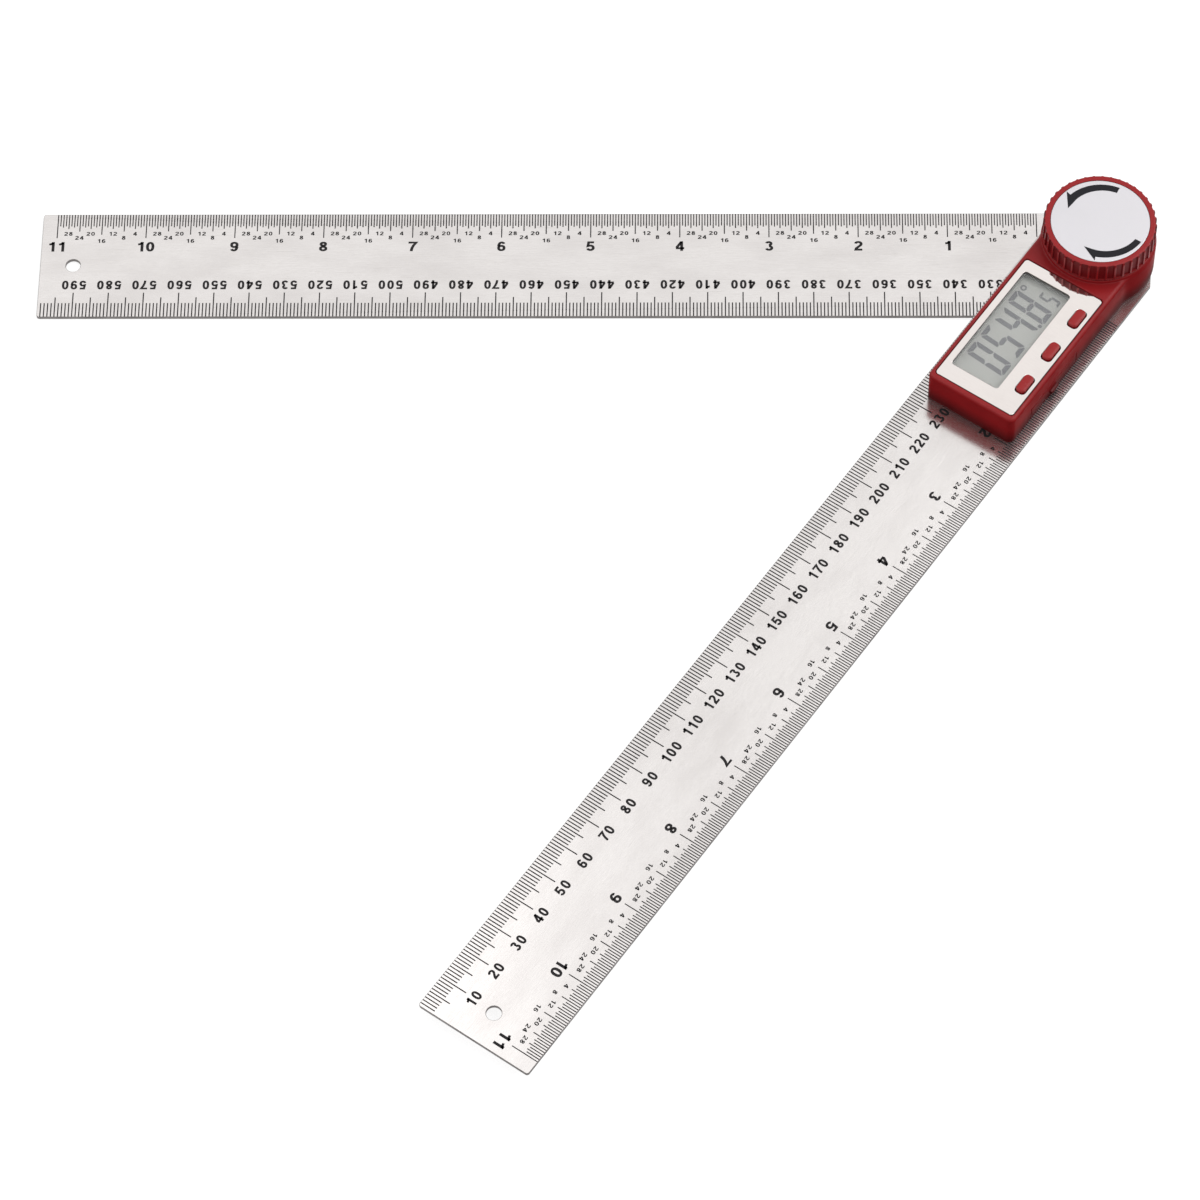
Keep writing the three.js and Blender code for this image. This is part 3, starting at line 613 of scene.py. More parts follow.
def clear_window():
    finish = Finish("window_clear", (1.0, 1.0, 1.0, 1.0), 0.03)
    finish.shader.inputs["Transmission Weight"].default_value = 1.0
    finish.shader.inputs["IOR"].default_value = 1.46
    haze = finish.noise(per_mm(9, 9, 9), 0, 3)
    finish.vary_roughness(haze, 0.02)
    output = finish.nodes["Material Output"]
    see_through = finish.nodes.new("ShaderNodeBsdfTransparent")
    path = finish.nodes.new("ShaderNodeLightPath")
    mix = finish.nodes.new("ShaderNodeMixShader")
    finish.links.new(path.outputs["Is Shadow Ray"], mix.inputs["Fac"])
    finish.links.new(finish.shader.outputs["BSDF"], mix.inputs[1])
    finish.links.new(see_through.outputs["BSDF"], mix.inputs[2])
    finish.links.new(mix.outputs["Shader"], output.inputs["Surface"])
    return finish.material


measuring_steel = brushed_steel("brushed_steel_measuring", MEASURING_TURN)
display_steel = brushed_steel("brushed_steel_display", DISPLAY_TURN)
# The housing's red carries painted shade low on its walls.
red = moulded_plastic(
    "red_moulded", linear(150, 31, 34), linear(128, 22, 26), linear(168, 46, 48), 0.34, 0.22,
    wall_shine=0.004, edge=0.8, painted_low_shade_color=linear(72, 20, 22))
knob_red = moulded_plastic(
    "red_knob", linear(156, 31, 34), linear(134, 23, 27), linear(172, 50, 52), 0.34, 0.26,
    wall_shine=0.24)
# Painted shade: a darker red for the flutes, standing in for the shade in the grooves.
flute_red_painted_shade = moulded_plastic(
    "red_flutes_painted_shade", linear(124, 22, 26), linear(101, 16, 20), linear(141, 35, 37), 0.42, 0.08,
    wall_shine=0.1)
button_red = moulded_plastic(
    "red_button", linear(160, 30, 32), linear(138, 22, 25), linear(182, 54, 55), 0.26, 0.3)
black = moulded_plastic(
    "black_moulded", linear(30, 30, 32), linear(20, 20, 22), linear(58, 58, 60), 0.5, 0.3)
nylon = moulded_plastic(
    "pale_nylon", linear(226, 222, 208), linear(206, 200, 184), linear(240, 237, 226), 0.5, 0.36)
mirror = worn_metal("faceplate_metal", linear(238, 231, 227), linear(226, 218, 214), 0.04,
                    (0.2, 3.0, 1.0), DISPLAY_TURN)
# Painted shade: the blades' edge faces take a dark grey that stands in for the dark surroundings
# they reflect.
edge_steel_painted_shade = worn_metal("blade_edge_painted_shade", linear(126, 122, 121), linear(84, 81, 80), 0.5,
                          (0.3, 0.3, 0.2))
# Painted shade: the faceplate's edge faces take a dark grey that stands in for a dark line of shade
# at its rim.
plate_edge_painted_shade = worn_metal("faceplate_edge_painted_shade", linear(128, 122, 120), linear(96, 91, 90), 0.5,
                        (0.3, 0.3, 0.2))
satin = worn_metal("disc_metal", linear(194, 192, 195), linear(188, 186, 190), 0.42,
                   (0.15, 0.15, 0.15), smudge=0.12)
bright = worn_metal("bright_steel", linear(204, 204, 208), linear(170, 170, 174), 0.26, edges=0.1)
brass = worn_metal("brass_bush", linear(190, 156, 84), linear(150, 118, 60), 0.3, edges=0.1)
bronze = worn_metal("spring_bronze", linear(186, 146, 98), linear(146, 108, 68), 0.34, (2, 0.2, 1))
cell = worn_metal("cell_steel", linear(198, 200, 204), linear(182, 184, 188), 0.3, (3, 0.3, 1),
                  smudge=0.12)
board = circuit_board()
scale_ink = ink("scale_ink", linear(40, 38, 39))
arrow_ink = ink("arrow_ink", linear(34, 34, 38))
panel_grey = display_glass("display_grey", linear(144, 145, 141), linear(138, 139, 135))
segment_grey = display_glass("segment_grey", linear(90, 91, 94), linear(84, 85, 88))
bezel_grey = display_glass("display_bezel_grey", linear(148, 149, 147), linear(136, 137, 135))
rubber = moulded_plastic(
    "strip_rubber", linear(52, 52, 54), linear(40, 40, 42), linear(78, 78, 80), 0.7, 0.3, 0.1)
window_clear = clear_window()


# Blades

def blade_outline(inset):
    corner = TIP_CORNER - inset
    centre = BLADE_REACH - TIP_CORNER
    side = BLADE_HALF - TIP_CORNER
    turn = BLADE_SHOULDER_TURN
    end_radius = BLADE_HALF - BLADE_END_INSET - inset
    half = BLADE_HALF - inset
    shoulder = (half * math.cos(turn) - end_radius) / math.sin(turn)
    return (arc(centre, -side, corner, -QUARTER, 0, 8)
            + arc(centre, side, corner, 0, QUARTER, 8)
            + [(shoulder, half)]
            + arc(0, 0, end_radius, QUARTER + turn, QUARTER + math.pi - turn, 80)
            + [(shoulder, -half)])


def round_hole(x, y, radius):
    return lambda inset, height: circle(x, y, radius + inset)


def screw_seat(x, y, head_radius, bottom):
    """A countersunk seat that narrows upwards from the blade's underside."""
    def loop(inset, height):
        narrowing = min(height - bottom, SCREW_SEAT_DEPTH)
        return circle(x, y, head_radius + SCREW_SEAT_GAP - narrowing, 32)
    return loop


def blade(bottom, holes):
    top = bottom + BLADE_THICKNESS
    layers = edge_layers(bottom, top, BLADE_EDGE, BLADE_EDGE, 3)
    middle = len(layers) // 2
    layers.insert(middle, (0.0, bottom + SCREW_SEAT_DEPTH))
    return slab(blade_outline, layers, [round_hole(HANG_HOLE_PLACE, 0, HANG_HOLE_RADIUS)] + holes)


hub_spots = [(HUB_SCREW_PITCH_RADIUS * math.cos(FULL_TURN * i / 3),
              HUB_SCREW_PITCH_RADIUS * math.sin(FULL_TURN * i / 3)) for i in range(3)]
measuring_blade = blade(0, [screw_seat(x, y, HUB_SCREW_HEAD_RADIUS, 0) for x, y in hub_spots])
dress("blade_measuring", measuring_blade.mesh("blade_measuring", MEASURING), measuring_steel,
      "measuring_arm", ["measuring_blade"], edge_material=edge_steel_painted_shade, level=True)
display_blade = blade(UPPER_BOTTOM, [round_hole(0, 0, BUSH_HOLE_RADIUS)] + [
    screw_seat(x, y, HOUSING_SCREW_HEAD_RADIUS, UPPER_BOTTOM) for x, y in HOUSING_SCREW_SPOTS])
dress("blade_display", display_blade.mesh("blade_display", DISPLAY), display_steel,
      "display_arm", ["display_blade"], edge_material=edge_steel_painted_shade, level=True)


# Printed scales

def bow(x, y, across, up, start, end, squareness=2.3):
    """Part of a rounded loop, from one angle in degrees to another."""
    points = []
    for i in range(STROKE_STEPS + 1):
        turn = math.radians(start + (end - start) * i / STROKE_STEPS)
        cosine, sine = math.cos(turn), math.sin(turn)
        points.append((x + across * math.copysign(abs(cosine) ** (2 / squareness), cosine),
                       y + up * math.copysign(abs(sine) ** (2 / squareness), sine)))
    return points


def digit_strokes(character, half):
    """Centre lines of a plain upright digit one unit high, for strokes of the given half width."""
    low, high = half, 1 - half
    wide = DIGIT_WIDTH
    left, right, middle = half, wide - half, wide / 2
    reach = middle - half
    if character == "0":
        return [bow(middle, 0.5, reach, high - 0.5, 0, 180),
                bow(middle, 0.5, reach, high - 0.5, 180, 360)]
    if character == "1":
        return [[(0.40, 0.0), (0.40, 1.0)],
                [(0.12, 0.74), (0.26, 0.77), (0.36, 0.86), (0.40, 0.96)]]
    if character == "2":
        top = bow(middle, 0.70, reach, high - 0.70, 172, -38)
        return [top + [(left + 0.04, low + 0.13), (left + 0.01, low), (wide - 0.02, low)]]
    if character == "3":
        return [bow(middle - 0.02, 0.745, reach - 0.03, high - 0.745, 165, -90, 2.1),
                bow(middle, 0.285, reach, 0.285 - low, 90, -165, 2.1)]
    if character == "4":
        return [[(0.42, 0.0), (0.42, 1.0)], [(0.40, 0.95), (0.07, 0.33)],
                [(0.02, 0.27), (0.60, 0.27)]]
    if character == "5":
        bowl = bow(middle - 0.01, 0.33, reach + 0.01, 0.33 - low, 140, -165, 2.2)
        return [[(wide - 0.05, high), (0.16, high), (0.10, 0.50)] + bowl[1:]]
    if character in "69":
        loop = [bow(middle, 0.32, reach, 0.32 - low, 0, 180),
                bow(middle, 0.32, reach, 0.32 - low, 180, 360),
                bow(middle + 0.02, 0.5, reach + 0.02, high - 0.5, 180, 40, 2.1)]
        if character == "6":
            return loop
        return [[(wide - x, 1 - y) for x, y in stroke] for stroke in loop]
    if character == "7":
        return [[(0.02, high), (wide - 0.03, high), (0.38, 0.62), (0.27, 0.32), (0.22, 0.0)]]
    return [bow(middle, 0.75, reach - 0.03, high - 0.75, 0, 180, 2.1),
            bow(middle, 0.75, reach - 0.03, high - 0.75, 180, 360, 2.1),
            bow(middle, 0.285, reach, 0.285 - low, 0, 180, 2.1),
            bow(middle, 0.285, reach, 0.285 - low, 180, 360, 2.1)]


def stroke_band(line, half):
    """Points and faces of a flat band along a line."""
    kept = [Vector(line[0])]
    for point in line[1:]:
        if (Vector(point) - kept[-1]).length > 0.004:
            kept.append(Vector(point))
    points = []
    for i, point in enumerate(kept):
        before = (point - kept[i - 1]).normalized() if i else None
        after = (kept[i + 1] - point).normalized() if i < len(kept) - 1 else None
        along = ((before or after) + (after or before)).normalized()
        across = Vector((-along.y, along.x))
        bend = max(0.55, along.dot(after or before))
        points.append(tuple(point + across * half / bend))
        points.append(tuple(point - across * half / bend))
    faces = [(2 * i, 2 * i + 1, 2 * i + 3, 2 * i + 2) for i in range(len(kept) - 1)]
    return points, faces


def add_flat(solid, points, faces, bottom, top):
    """Add flat faces as a thin closed solid between two heights."""
    count = len(points)
    edges = {}
    for face in faces:
        for i, a in enumerate(face):
            edges[(a, face[(i + 1) % len(face)])] = True
    walls = [(a, b, b + count, a + count) for a, b in edges if (b, a) not in edges]
    solid.add([(x, y, bottom) for x, y in points] + [(x, y, top) for x, y in points],
              [tuple(face[::-1]) for face in faces]
              + [tuple(i + count for i in face) for face in faces] + walls)


def add_number(solid, text, x, y, style, reading, surface):
    """Write a number centred at x, y. Reading is 1 for digit tops towards +y, -1 towards -y."""
    height, stroke, stretch, spacing = style
    advance = DIGIT_WIDTH * stretch * height
    gap = spacing * height
    pen = -((advance + gap) * len(text) - gap) / 2
    for character in text:
        for line in digit_strokes(character, stroke / 2):
            points, faces = stroke_band(line, stroke / 2)
            placed = [(x + reading * (pen + px * height * stretch),
                       y + reading * (py - 0.5) * height) for px, py in points]
            add_flat(solid, placed, faces, surface - INK_SINK, surface + INK_RISE)
        pen += advance + gap


def add_tick(solid, x, edge, length, width, surface):
    """A graduation line that runs inwards from an edge at +y or -y."""
    side = math.copysign(1, edge)
    near, far = edge - side * BLADE_EDGE, edge - side * length
    tick = box(x - width / 2, x + width / 2, min(near, far), max(near, far),
               surface - INK_SINK, surface + INK_RISE)
    solid.add(tick.points, tick.faces)


def tick_length(lengths, place):
    """Length for the largest division that the place falls on."""
    return next(length for division, length in lengths.items() if place % division == 0)


def millimetre_scale(solid, surface, side, label_of, lead):
    edge = side * BLADE_HALF
    for place in range(SCALE_START, BLADE_REACH):
        add_tick(solid, place, edge, tick_length(MM_TICK_LENGTHS, place), TICK_WIDTH, surface)
        if place % 10 == 0 and place > SCALE_START:
            add_number(solid, str(label_of(place)), place + lead, edge - side * MM_NUMBER_INSET,
                       MM_NUMBERS, side, surface)


def inch_scale(solid, surface, side, lead):
    edge = side * BLADE_HALF
    for count in range(INCH_COUNT * INCH_PARTS + 1):
        place = ZERO_INCH_PLACE + lead + INCH * count / INCH_PARTS
        part = count % INCH_PARTS
        length = tick_length(INCH_TICK_LENGTHS, part)
        add_tick(solid, place, edge, length, INCH_TICK_WIDTH, surface)
        if part == 0 and count:
            add_number(solid, str(count // INCH_PARTS), place, edge - side * INCH_NUMBER_INSET,
                       INCH_NUMBERS, side, surface)
        elif part in PART_NUMBER_INSETS:
            add_number(solid, str(part), place, edge - side * PART_NUMBER_INSETS[part],
                       PART_NUMBERS, side, surface)


measuring_print = Solid()
millimetre_scale(measuring_print, BLADE_THICKNESS, 1, lambda place: BLADE_REACH + place, -0.06)
inch_scale(measuring_print, BLADE_THICKNESS, -1, 0)
dress("scale_measuring", measuring_print.mesh("scale_measuring", MEASURING), scale_ink,
      "measuring_arm", weighted=False)
display_print = Solid()
millimetre_scale(display_print, UPPER_TOP, -1, lambda place: BLADE_REACH - place, 0.25)
inch_scale(display_print, UPPER_TOP, 1, -0.18)
dress("scale_display", display_print.mesh("scale_display", DISPLAY), scale_ink,
      "display_arm", weighted=False)


# Head housing

def head_outline(inset):
    right_x = math.sqrt((BOSS_BASE_RADIUS + BOSS_BLEND) ** 2 - (HEAD_RIGHT + BOSS_BLEND) ** 2)
    left_x = math.sqrt((BOSS_BASE_RADIUS + BOSS_BLEND) ** 2 - (BOSS_BLEND - HEAD_LEFT) ** 2)
    right_turn = math.atan2(HEAD_RIGHT + BOSS_BLEND, right_x)
    left_turn = math.atan2(HEAD_LEFT - BOSS_BLEND, left_x)
    corner_x = HEAD_FRONT - HEAD_CORNER
    corner = HEAD_CORNER - inset
    blend = BOSS_BLEND + inset
    return (arc(corner_x, HEAD_LEFT + HEAD_CORNER, corner, -QUARTER, 0, 12)
            + arc(corner_x, HEAD_RIGHT - HEAD_CORNER, corner, 0, QUARTER, 12)
            + arc(right_x, HEAD_RIGHT + BOSS_BLEND, blend, -QUARTER, right_turn - math.pi, 14)
            + arc(0, 0, BOSS_BASE_RADIUS - inset, right_turn, FULL_TURN + left_turn, 90)[1:-1]
            + arc(left_x, HEAD_LEFT - BOSS_BLEND, blend, math.pi + left_turn, QUARTER, 14))


def button_sides(place, border=0.0):
    half = BUTTON_LENGTH / 2 + border
    return (place - half, place + half,
            BUTTON_MIDDLE - BUTTON_WIDTH / 2 - border, BUTTON_MIDDLE + BUTTON_WIDTH / 2 + border)


def boss():
    profile = [(0, HEAD_BOTTOM), (BOSS_BASE_RADIUS, HEAD_BOTTOM)]
    profile += arc(BOSS_TOP_RADIUS - BOSS_EDGE, BOSS_TOP - BOSS_EDGE, BOSS_EDGE, 0, QUARTER, 6)
    profile.append((0, BOSS_TOP))
    return turned(profile, 128)


def flat_prism(points, bottom, top):
    return slab(lambda inset: points, [(0, bottom), (0, top)])


shell = slab(head_outline, edge_layers(HEAD_BOTTOM, HEAD_TOP, HEAD_LOW_EDGE, HEAD_EDGE, 7))
hollow = flat_prism(head_outline(HEAD_WALL), HEAD_BOTTOM - OVERRUN, CEILING)


def cylinder(radius, bottom, top, steps=96, x=0.0, y=0.0):
    return turned([(0, bottom), (radius, bottom), (radius, top), (0, top)], steps, x, y)


boss_hollow = cylinder(BOSS_TOP_RADIUS - HEAD_WALL, HEAD_BOTTOM - OVERRUN, BOSS_TOP - BOSS_ROOF)
stud_hole = cylinder(STUD_HOLE_RADIUS, CEILING - OVERRUN, BOSS_TOP + OVERRUN, 48)
pocket = flat_prism(rounded_rectangle(PLATE, PLATE_CORNER, PLATE_GAP),
                    PLATE_BOTTOM - PLATE_SEAT_GAP, BOSS_TOP + OVERRUN)
window_hole = flat_prism(
    rounded_rectangle(WINDOW, WINDOW_CORNER, WINDOW_BORDER + WINDOW_HOLE_GAP),
    CEILING - OVERRUN, BOSS_TOP + OVERRUN)
button_holes = [flat_prism(rounded_rectangle(button_sides(place), BUTTON_CORNER, BUTTON_HOLE_GAP),
                           CEILING - OVERRUN, BOSS_TOP + OVERRUN)
                for place in BUTTON_PLACES.values()]
mouth = box(TRAY_CENTRE - TRAY_HALF, TRAY_CENTRE + TRAY_HALF, HEAD_MIDDLE, HEAD_RIGHT + OVERRUN,
            TRAY_MOUTH_BOTTOM, TRAY_MOUTH_TOP)
housing_mesh = combined(
    "head_housing", DISPLAY, shell, [boss()],
    [hollow, boss_hollow, stud_hole, pocket, window_hole, mouth] + button_holes)
dress("head_housing", housing_mesh, red, "display_arm", ["housing"])
posts = Solid()
for x, y in HOUSING_SCREW_SPOTS:
    post = cylinder(POST_RADIUS, POST_BOTTOM, CEILING + POST_OVERLAP, 32, x, y)
    posts.add(post.points, post.faces)
dress("head_posts", posts.mesh("head_posts", DISPLAY), red, "display_arm")


# Faceplate, window and display

plate_holes = [lambda inset, height: rounded_rectangle(WINDOW, WINDOW_CORNER, inset)]
for place in BUTTON_PLACES.values():
    plate_holes.append(lambda inset, height, place=place: rounded_rectangle(
        button_sides(place), BUTTON_CORNER, BUTTON_HOLE_GAP + inset))
plate = slab(lambda inset: rounded_rectangle(PLATE, PLATE_CORNER, -inset),
             edge_layers(PLATE_BOTTOM, PLATE_TOP, 0, PLATE_EDGE, 3), plate_holes)
dress("plate", plate.mesh("plate", DISPLAY), mirror, "display_arm", ["faceplate"],
      edge_material=plate_edge_painted_shade, level=True)


def bordered_window(inset):
    return rounded_rectangle(WINDOW, WINDOW_CORNER, WINDOW_BORDER - inset)


window = slab(bordered_window, edge_layers(WINDOW_BOTTOM, WINDOW_TOP, GLASS_EDGE, GLASS_EDGE, 2))
dress("window", window.mesh("window", DISPLAY), window_clear, "display_arm",
      ["lcd_window"], level=True)
bezel = slab(bordered_window,
             edge_layers(PANEL_FACE - BEZEL_SINK, PANEL_TOP, GLASS_EDGE, GLASS_EDGE, 2),
             [lambda inset, height: rounded_rectangle(WINDOW, WINDOW_CORNER, inset)])
dress("display_bezel", bezel.mesh("display_bezel", DISPLAY), bezel_grey,
      "display_arm")
panel = slab(bordered_window, edge_layers(PANEL_BOTTOM, PANEL_FACE, GLASS_EDGE, GLASS_EDGE, 2))
dress("display_panel", panel.mesh("display_panel", DISPLAY), panel_grey,
      "display_arm", ["lcd_panel"])


def add_segment(solid, points, faces):
    add_flat(solid, points, faces, PANEL_FACE - SEGMENT_SINK, PANEL_FACE + SEGMENT_RISE)


def segment_digit(solid, character, start, foot, width, height, stroke, lean):
    """A seven-segment digit. Start is its left side in reading order, foot is its base line."""
    gap = stroke * SEGMENT_GAP_SHARE
    cut = stroke * SEGMENT_CUT_SHARE
    half = stroke / 2
    middle = height / 2
    near, far = stroke + gap, width - stroke - gap

    def upper(points):
        return [(x, height - y) for x, y in points]

    def right(points):
        return [(width - x, y) for x, y in points]

    side = [(0, cut + gap), (cut / 2, cut / 2 + gap), (stroke, near),
            (stroke, middle - half - gap), (half, middle - gap), (0, middle - gap)]
    foot_bar = [(cut + gap, 0), (width - cut - gap, 0), (width - cut / 2 - gap, cut / 2),
                (far, stroke), (near, stroke), (cut / 2 + gap, cut / 2)]
    middle_bar = [(half + gap, middle), (near, middle - half), (far, middle - half),
                  (width - half - gap, middle), (far, middle + half), (near, middle + half)]
    bars = {
        "a": upper(foot_bar), "d": foot_bar, "g": middle_bar,
        "b": right(upper(side)), "c": right(side), "e": side, "f": upper(side),
    }
    for letter in SEGMENTS[character]:
        points = [(start - (x + lean * y), foot - y) for x, y in bars[letter]]
        add_segment(solid, points, [tuple(range(len(points)))])


digits = Solid()
for character, start in LARGE_STARTS.items():
    segment_digit(digits, character, start, **LARGE_DIGIT)
segment_digit(digits, "5", SMALL_START, **SMALL_DIGIT)
add_segment(digits, circle(*POINT, POINT_STEPS), [tuple(range(POINT_STEPS))])
ring = circle(*RING_CENTRE, RING_OUTER_RADIUS, RING_STEPS) + circle(
    *RING_CENTRE, RING_INNER_RADIUS, RING_STEPS)
add_segment(digits, ring, [
    (i, (i + 1) % RING_STEPS, RING_STEPS + (i + 1) % RING_STEPS, RING_STEPS + i)
    for i in range(RING_STEPS)])
dress("display_digits", digits.mesh("display_digits", DISPLAY), segment_grey,
      "display_arm", weighted=False)


# Buttons

for button_name, place in BUTTON_PLACES.items():
    def cap_outline(inset, place=place):
        x0, x1, y0, y1 = button_sides(place)
        return rounded_rectangle((x0 + inset, x1 - inset, y0 + inset, y1 - inset),
                                 BUTTON_CORNER - inset)
    cap = slab(cap_outline, edge_layers(BUTTON_FLANGE_BOTTOM, BUTTON_TOP, 0, BUTTON_EDGE, 7))
    x0, x1, y0, y1 = button_sides(place)
    flange = box(x0 - BUTTON_FLANGE_BORDER, x1 + BUTTON_FLANGE_BORDER,
                 y0 + BUTTON_FLANGE_INSET, y1 - BUTTON_FLANGE_INSET,
                 BUTTON_FLANGE_BOTTOM, BUTTON_FLANGE_TOP)
    cap.add(flange.points, flange.faces)
    dress("cap_" + button_name, cap.mesh("cap_" + button_name, DISPLAY), button_red,
          "button_" + button_name, ["button_" + button_name])


# Knob

def knob_solid():
    """Fluted cap on a polar grid: a closed ring of layers, each with a radius at every angle."""
    steps_per_flute = 20
    count = KNOB_FLUTE_COUNT * steps_per_flute
    core = KNOB_RADIUS - KNOB_FLUTE
    shoulder = KNOB_FLUTE_SHOULDER
    lip = KNOB_FLUTE_LIP

    def flute(step):
        """1 on the floor of a flute, 0 on a land, with a soft shoulder between."""
        phase = abs(((step / steps_per_flute + 0.5) % 1) - 0.5) * 2
        share = (KNOB_FLUTE_SHARE + shoulder / 2 - phase) / shoulder
        share = min(max(share, 0.0), 1.0)
        return share * share * (3 - 2 * share)

    depths = [flute(step) for step in range(steps_per_flute)]

    def fluted(full, share):
        """Radii of one layer, from the radius of the lands and the share of the flutes' depth."""
        return [full - depth * share * max(0.0, full - core) for depth in depths] * KNOB_FLUTE_COUNT

    def even(radius):
        return [radius] * count

    layers = [
        (even(INSERT_HOLE_RADIUS), KNOB_HUB_BOTTOM),
        (even(KNOB_HUB_RADIUS), KNOB_HUB_BOTTOM),
        (even(KNOB_HUB_RADIUS), KNOB_ROOF_BOTTOM),
        (even(KNOB_INNER_RADIUS), KNOB_ROOF_BOTTOM),
        (even(KNOB_INNER_RADIUS), KNOB_BOTTOM),
    ]
    foot = KNOB_FOOT_EDGE
    for x, y in arc(KNOB_RADIUS - foot, KNOB_BOTTOM + foot, foot, -QUARTER, 0, 4):
        layers.append((even(x), y))
    ring_top = KNOB_BOTTOM + KNOB_BASE_RING
    for x, y in arc(0, ring_top, lip, -QUARTER, 0, 5):
        layers.append((fluted(KNOB_RADIUS, (y - ring_top + lip) / lip), ring_top - lip / 2 + x / 2))
    rim = KNOB_TOP - KNOB_EDGE
    for i in range(1, 4):
        layers.append((fluted(KNOB_RADIUS, 1), ring_top + lip + (rim - ring_top - lip) * i / 4))
    for x, y in arc(KNOB_RADIUS - KNOB_EDGE, rim, KNOB_EDGE, 0, QUARTER, 16):
        layers.append((fluted(x, 1), y))
    layers += [
        (even(DISC_RADIUS + DISC_GAP + DISC_RECESS_EDGE), KNOB_TOP),
        (even(DISC_RADIUS + DISC_GAP), KNOB_TOP - DISC_RECESS_EDGE),
        (even(DISC_RADIUS + DISC_GAP), DISC_RECESS_FLOOR),
        (even(INSERT_HOLE_RADIUS), DISC_RECESS_FLOOR),
    ]
    solid = Solid()
    points = []
    for radii, height in layers:
        for step, radius in enumerate(radii):
            turn = FULL_TURN * step / count
            points.append((radius * math.cos(turn), radius * math.sin(turn), height))
    faces = []
    for level in range(len(layers)):
        following = (level + 1) % len(layers)
        for step in range(count):
            a, b = level * count + step, level * count + (step + 1) % count
            c, d = following * count + (step + 1) % count, following * count + step
            faces.append((a, b, c, d))
    solid.add(points, faces)
    return solid


knob_cap = dress("knob_cap", knob_solid().mesh("knob_cap", CENTRED), knob_red,
                 "knob", ["knob"])
# Painted shade: the flutes' floors and sides take a darker red, standing in for the shade in the
# grooves.
knob_cap.data.materials.append(flute_red_painted_shade)
FLUTE_INNER, FLUTE_OUTER = KNOB_RADIUS - 0.9, KNOB_RADIUS - 0.1
FLUTE_LOW, FLUTE_HIGH = KNOB_BOTTOM + KNOB_BASE_RING + 0.02, KNOB_TOP - KNOB_EDGE * 0.25
for face in knob_cap.data.polygons:
    across = math.hypot(face.center.x, face.center.y) / MM
    if FLUTE_INNER < across < FLUTE_OUTER and FLUTE_LOW < face.center.z / MM < FLUTE_HIGH:
        face.material_index = 1

disc_profile = [(0, DISC_BOTTOM), (DISC_RADIUS, DISC_BOTTOM)]
disc_profile += arc(DISC_RADIUS - DISC_EDGE, DISC_TOP - DISC_EDGE, DISC_EDGE, 0, QUARTER, 4)
disc_profile.append((0, DISC_TOP))
dress("disc", turned(disc_profile, 160).mesh("disc", CENTRED), satin,
      "knob", ["knob_disc"])

# Direction arrows on the disc: curved bands that narrow towards a barbed head.
# Turns are in degrees; each pair of radii is at the tail and at the head.
ARROWS = [
    {"turns": (62.6, 131.5), "inner": (10.85, 9.85), "outer": (12.8, 12.15), "barb": 13.7,
     "tip_turn": 153.6, "tip": 9.95},
    {"turns": (-32.6, -98.8), "inner": (11.3, 9.95), "outer": (13.2, 12.25), "barb": 13.55,
     "tip_turn": -119.9, "tip": 9.85},
]


def polar(radius, degrees):
    turn = math.radians(degrees)
    return (radius * math.cos(turn), radius * math.sin(turn))


def arrow_loop(turns, inner, outer, barb, tip_turn, tip):
    steps = 30

    def side(radii, backwards=False):
        order = range(steps, -1, -1) if backwards else range(steps + 1)
        return [polar(radii[0] + (radii[1] - radii[0]) * i / steps,
                      turns[0] + (turns[1] - turns[0]) * i / steps) for i in order]

    notch = polar(inner[1] * 0.985, (turns[1] * 2 + tip_turn) / 3)
    head = [polar(barb, turns[1]), polar(tip, tip_turn), notch]
    loop = side(outer) + head + side(inner, True)
    return loop if turns[1] > turns[0] else loop[::-1]


arrows = Solid()
for sizes in ARROWS:
    loop = arrow_loop(**sizes)
    band = flat_prism(loop, DISC_TOP - INK_SINK, DISC_TOP + INK_RISE)
    arrows.add(band.points, band.faces)
dress("disc_arrows", arrows.mesh("disc_arrows", CENTRED), arrow_ink, "knob",
      weighted=False)


# Finishes of the nodes that keep their CAD meshes. Only their material slots are set.

NODE_FINISHES = {
    "pivot_stud": bright, "friction_ring": nylon, "encoder_rotor": board, "rotor_clip": bright,
    "pivot_bush": brass, "housing_base": black, "connector_strip_left": rubber,
    "connector_strip_right": rubber, "main_board": board, "battery_tray": red, "coin_cell": cell,
    "contact_positive": bronze, "contact_negative": bronze, "switch_zero": black,
    "switch_hold": black, "switch_power": black, "knob_insert": brass, "thrust_washer": nylon,
}
for node_name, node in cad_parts.items():
    item = node if isinstance(node, bpy.types.Object) else bpy.data.objects[node_name]
    finish = NODE_FINISHES.get(node_name, bright if "screw" in node_name else None)
    if finish is not None:
        for material_slot in item.material_slots:
            material_slot.material = finish


# Floor, lights and camera

def seen_directly(nodes, links):
    """1 for camera, glossy and transmission rays, 0 for the rest."""
    path = nodes.new("ShaderNodeLightPath")
    found = path.outputs["Is Camera Ray"]
    for kind in ("Is Glossy Ray", "Is Transmission Ray"):
        larger = nodes.new("ShaderNodeMath")
        larger.operation = "MAXIMUM"
        links.new(found, larger.inputs[0])
        links.new(path.outputs[kind], larger.inputs[1])
        found = larger.outputs[0]
    return found


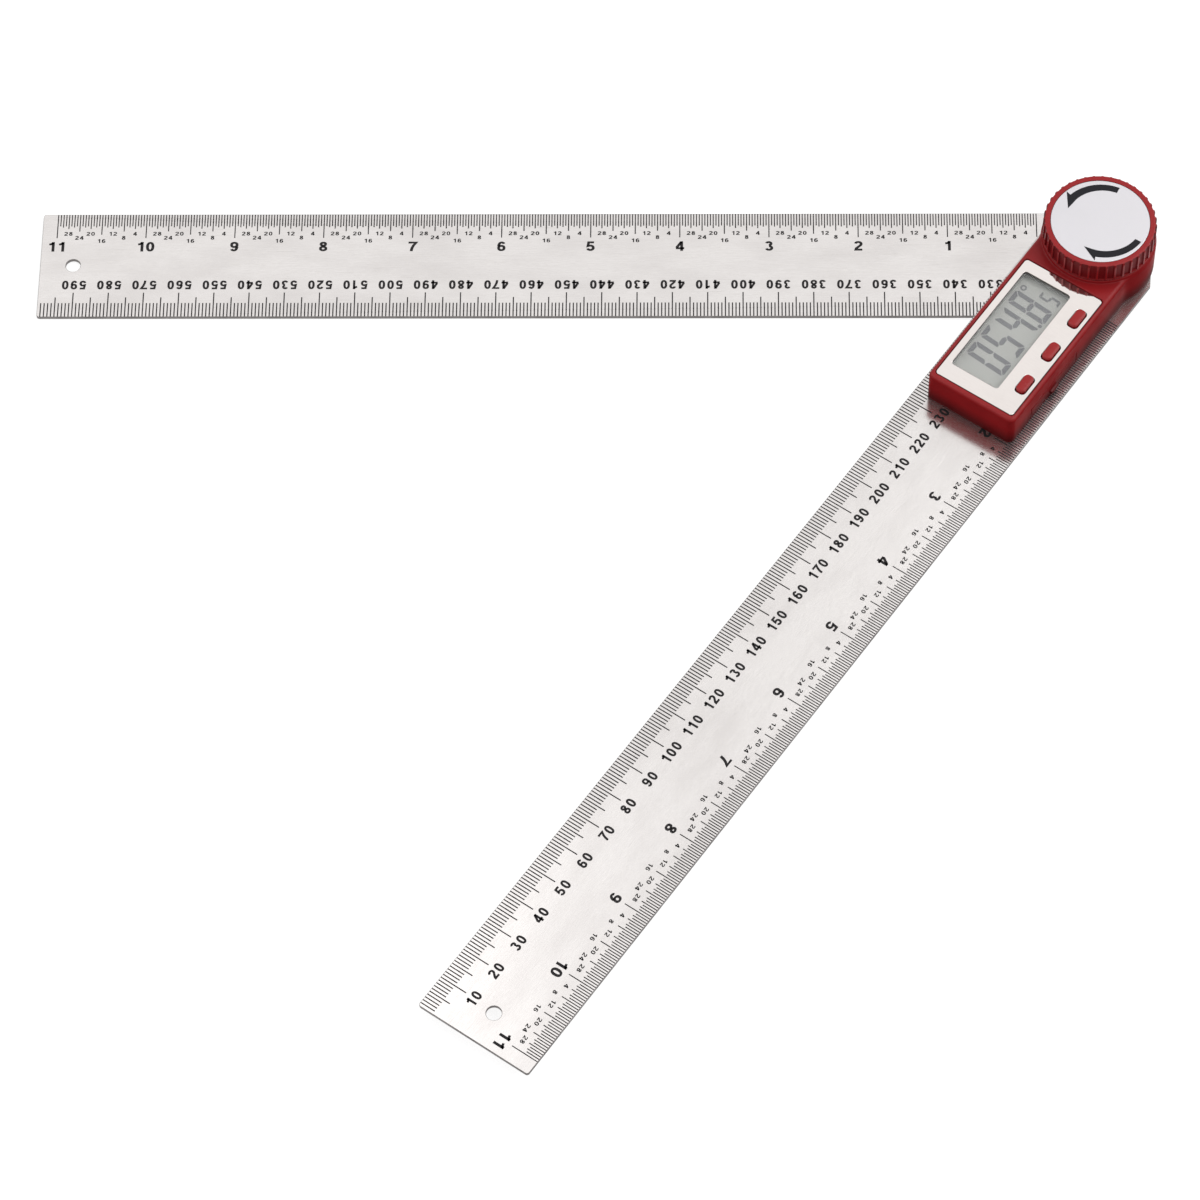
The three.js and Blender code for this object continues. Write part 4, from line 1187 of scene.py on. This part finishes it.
floor_mesh = bpy.data.meshes.new("floor")
floor_mesh.from_pydata([(x * FLOOR_REACH, y * FLOOR_REACH, FLOOR_HEIGHT)
                        for x, y in ((-1, -1), (1, -1), (1, 1), (-1, 1))], [], [(0, 1, 2, 3)])
floor = bpy.data.objects.new("floor", floor_mesh)
bpy.context.scene.collection.objects.link(floor)
floor_finish = Finish("floor_paper", (0.4, 0.4, 0.4, 1.0), 0.9)
floor_finish.shader.inputs["Specular IOR Level"].default_value = 0.0
floor_finish.shader.inputs["Emission Color"].default_value = WHITE
glow = floor_finish.nodes.new("ShaderNodeMath")
glow.operation = "MULTIPLY"
glow.inputs[1].default_value = FLOOR_GLOW
floor_finish.links.new(seen_directly(floor_finish.nodes, floor_finish.links), glow.inputs[0])
floor_finish.links.new(glow.outputs[0], floor_finish.shader.inputs["Emission Strength"])
floor_mesh.materials.append(floor_finish.material)

world = bpy.data.worlds.new("studio")
bpy.context.scene.world = world
world.use_nodes = True
world_nodes, world_links = world.node_tree.nodes, world.node_tree.links
sky = world_nodes["Background"]
sky.inputs["Color"].default_value = WHITE
sky.inputs["Strength"].default_value = SKY_LIGHT
white_sky = world_nodes.new("ShaderNodeBackground")
white_sky.inputs["Color"].default_value = WHITE
white_sky.inputs["Strength"].default_value = 1.0
sky_mix = world_nodes.new("ShaderNodeMixShader")
world_links.new(seen_directly(world_nodes, world_links), sky_mix.inputs["Fac"])
world_links.new(sky.outputs["Background"], sky_mix.inputs[1])
world_links.new(white_sky.outputs["Background"], sky_mix.inputs[2])
world_links.new(sky_mix.outputs["Shader"], world_nodes["World Output"].inputs["Surface"])


def area_light(name, place, size, power):
    light = bpy.data.lights.new(name, "AREA")
    light.shape = "SQUARE"
    light.size = size
    light.energy = power
    item = bpy.data.objects.new(name, light)
    item.location = place
    direction = Vector(LIGHT_TARGET) - Vector(place)
    item.rotation_euler = direction.to_track_quat("-Z", "Y").to_euler()
    bpy.context.scene.collection.objects.link(item)


area_light("key", place=(0.95, 0.25, 1.25), size=1.7, power=18)
area_light("fill", place=(-1.0, 0.1, 1.2), size=1.6, power=6.5)

camera_data = bpy.data.cameras.new("camera")
camera_data.sensor_width = CAMERA_SENSOR
camera_data.lens = CAMERA_LENS
camera_data.clip_end = CAMERA_CLIP_END
camera = bpy.data.objects.new("camera", camera_data)
columns = zip(CAMERA_RIGHT, CAMERA_UP, CAMERA_BACK, CAMERA_PLACE)
camera.matrix_world = Matrix((*columns, (0, 0, 0, 1)))
bpy.context.scene.collection.objects.link(camera)
bpy.context.scene.camera = camera
bpy.context.scene.view_settings.view_transform = "Standard"
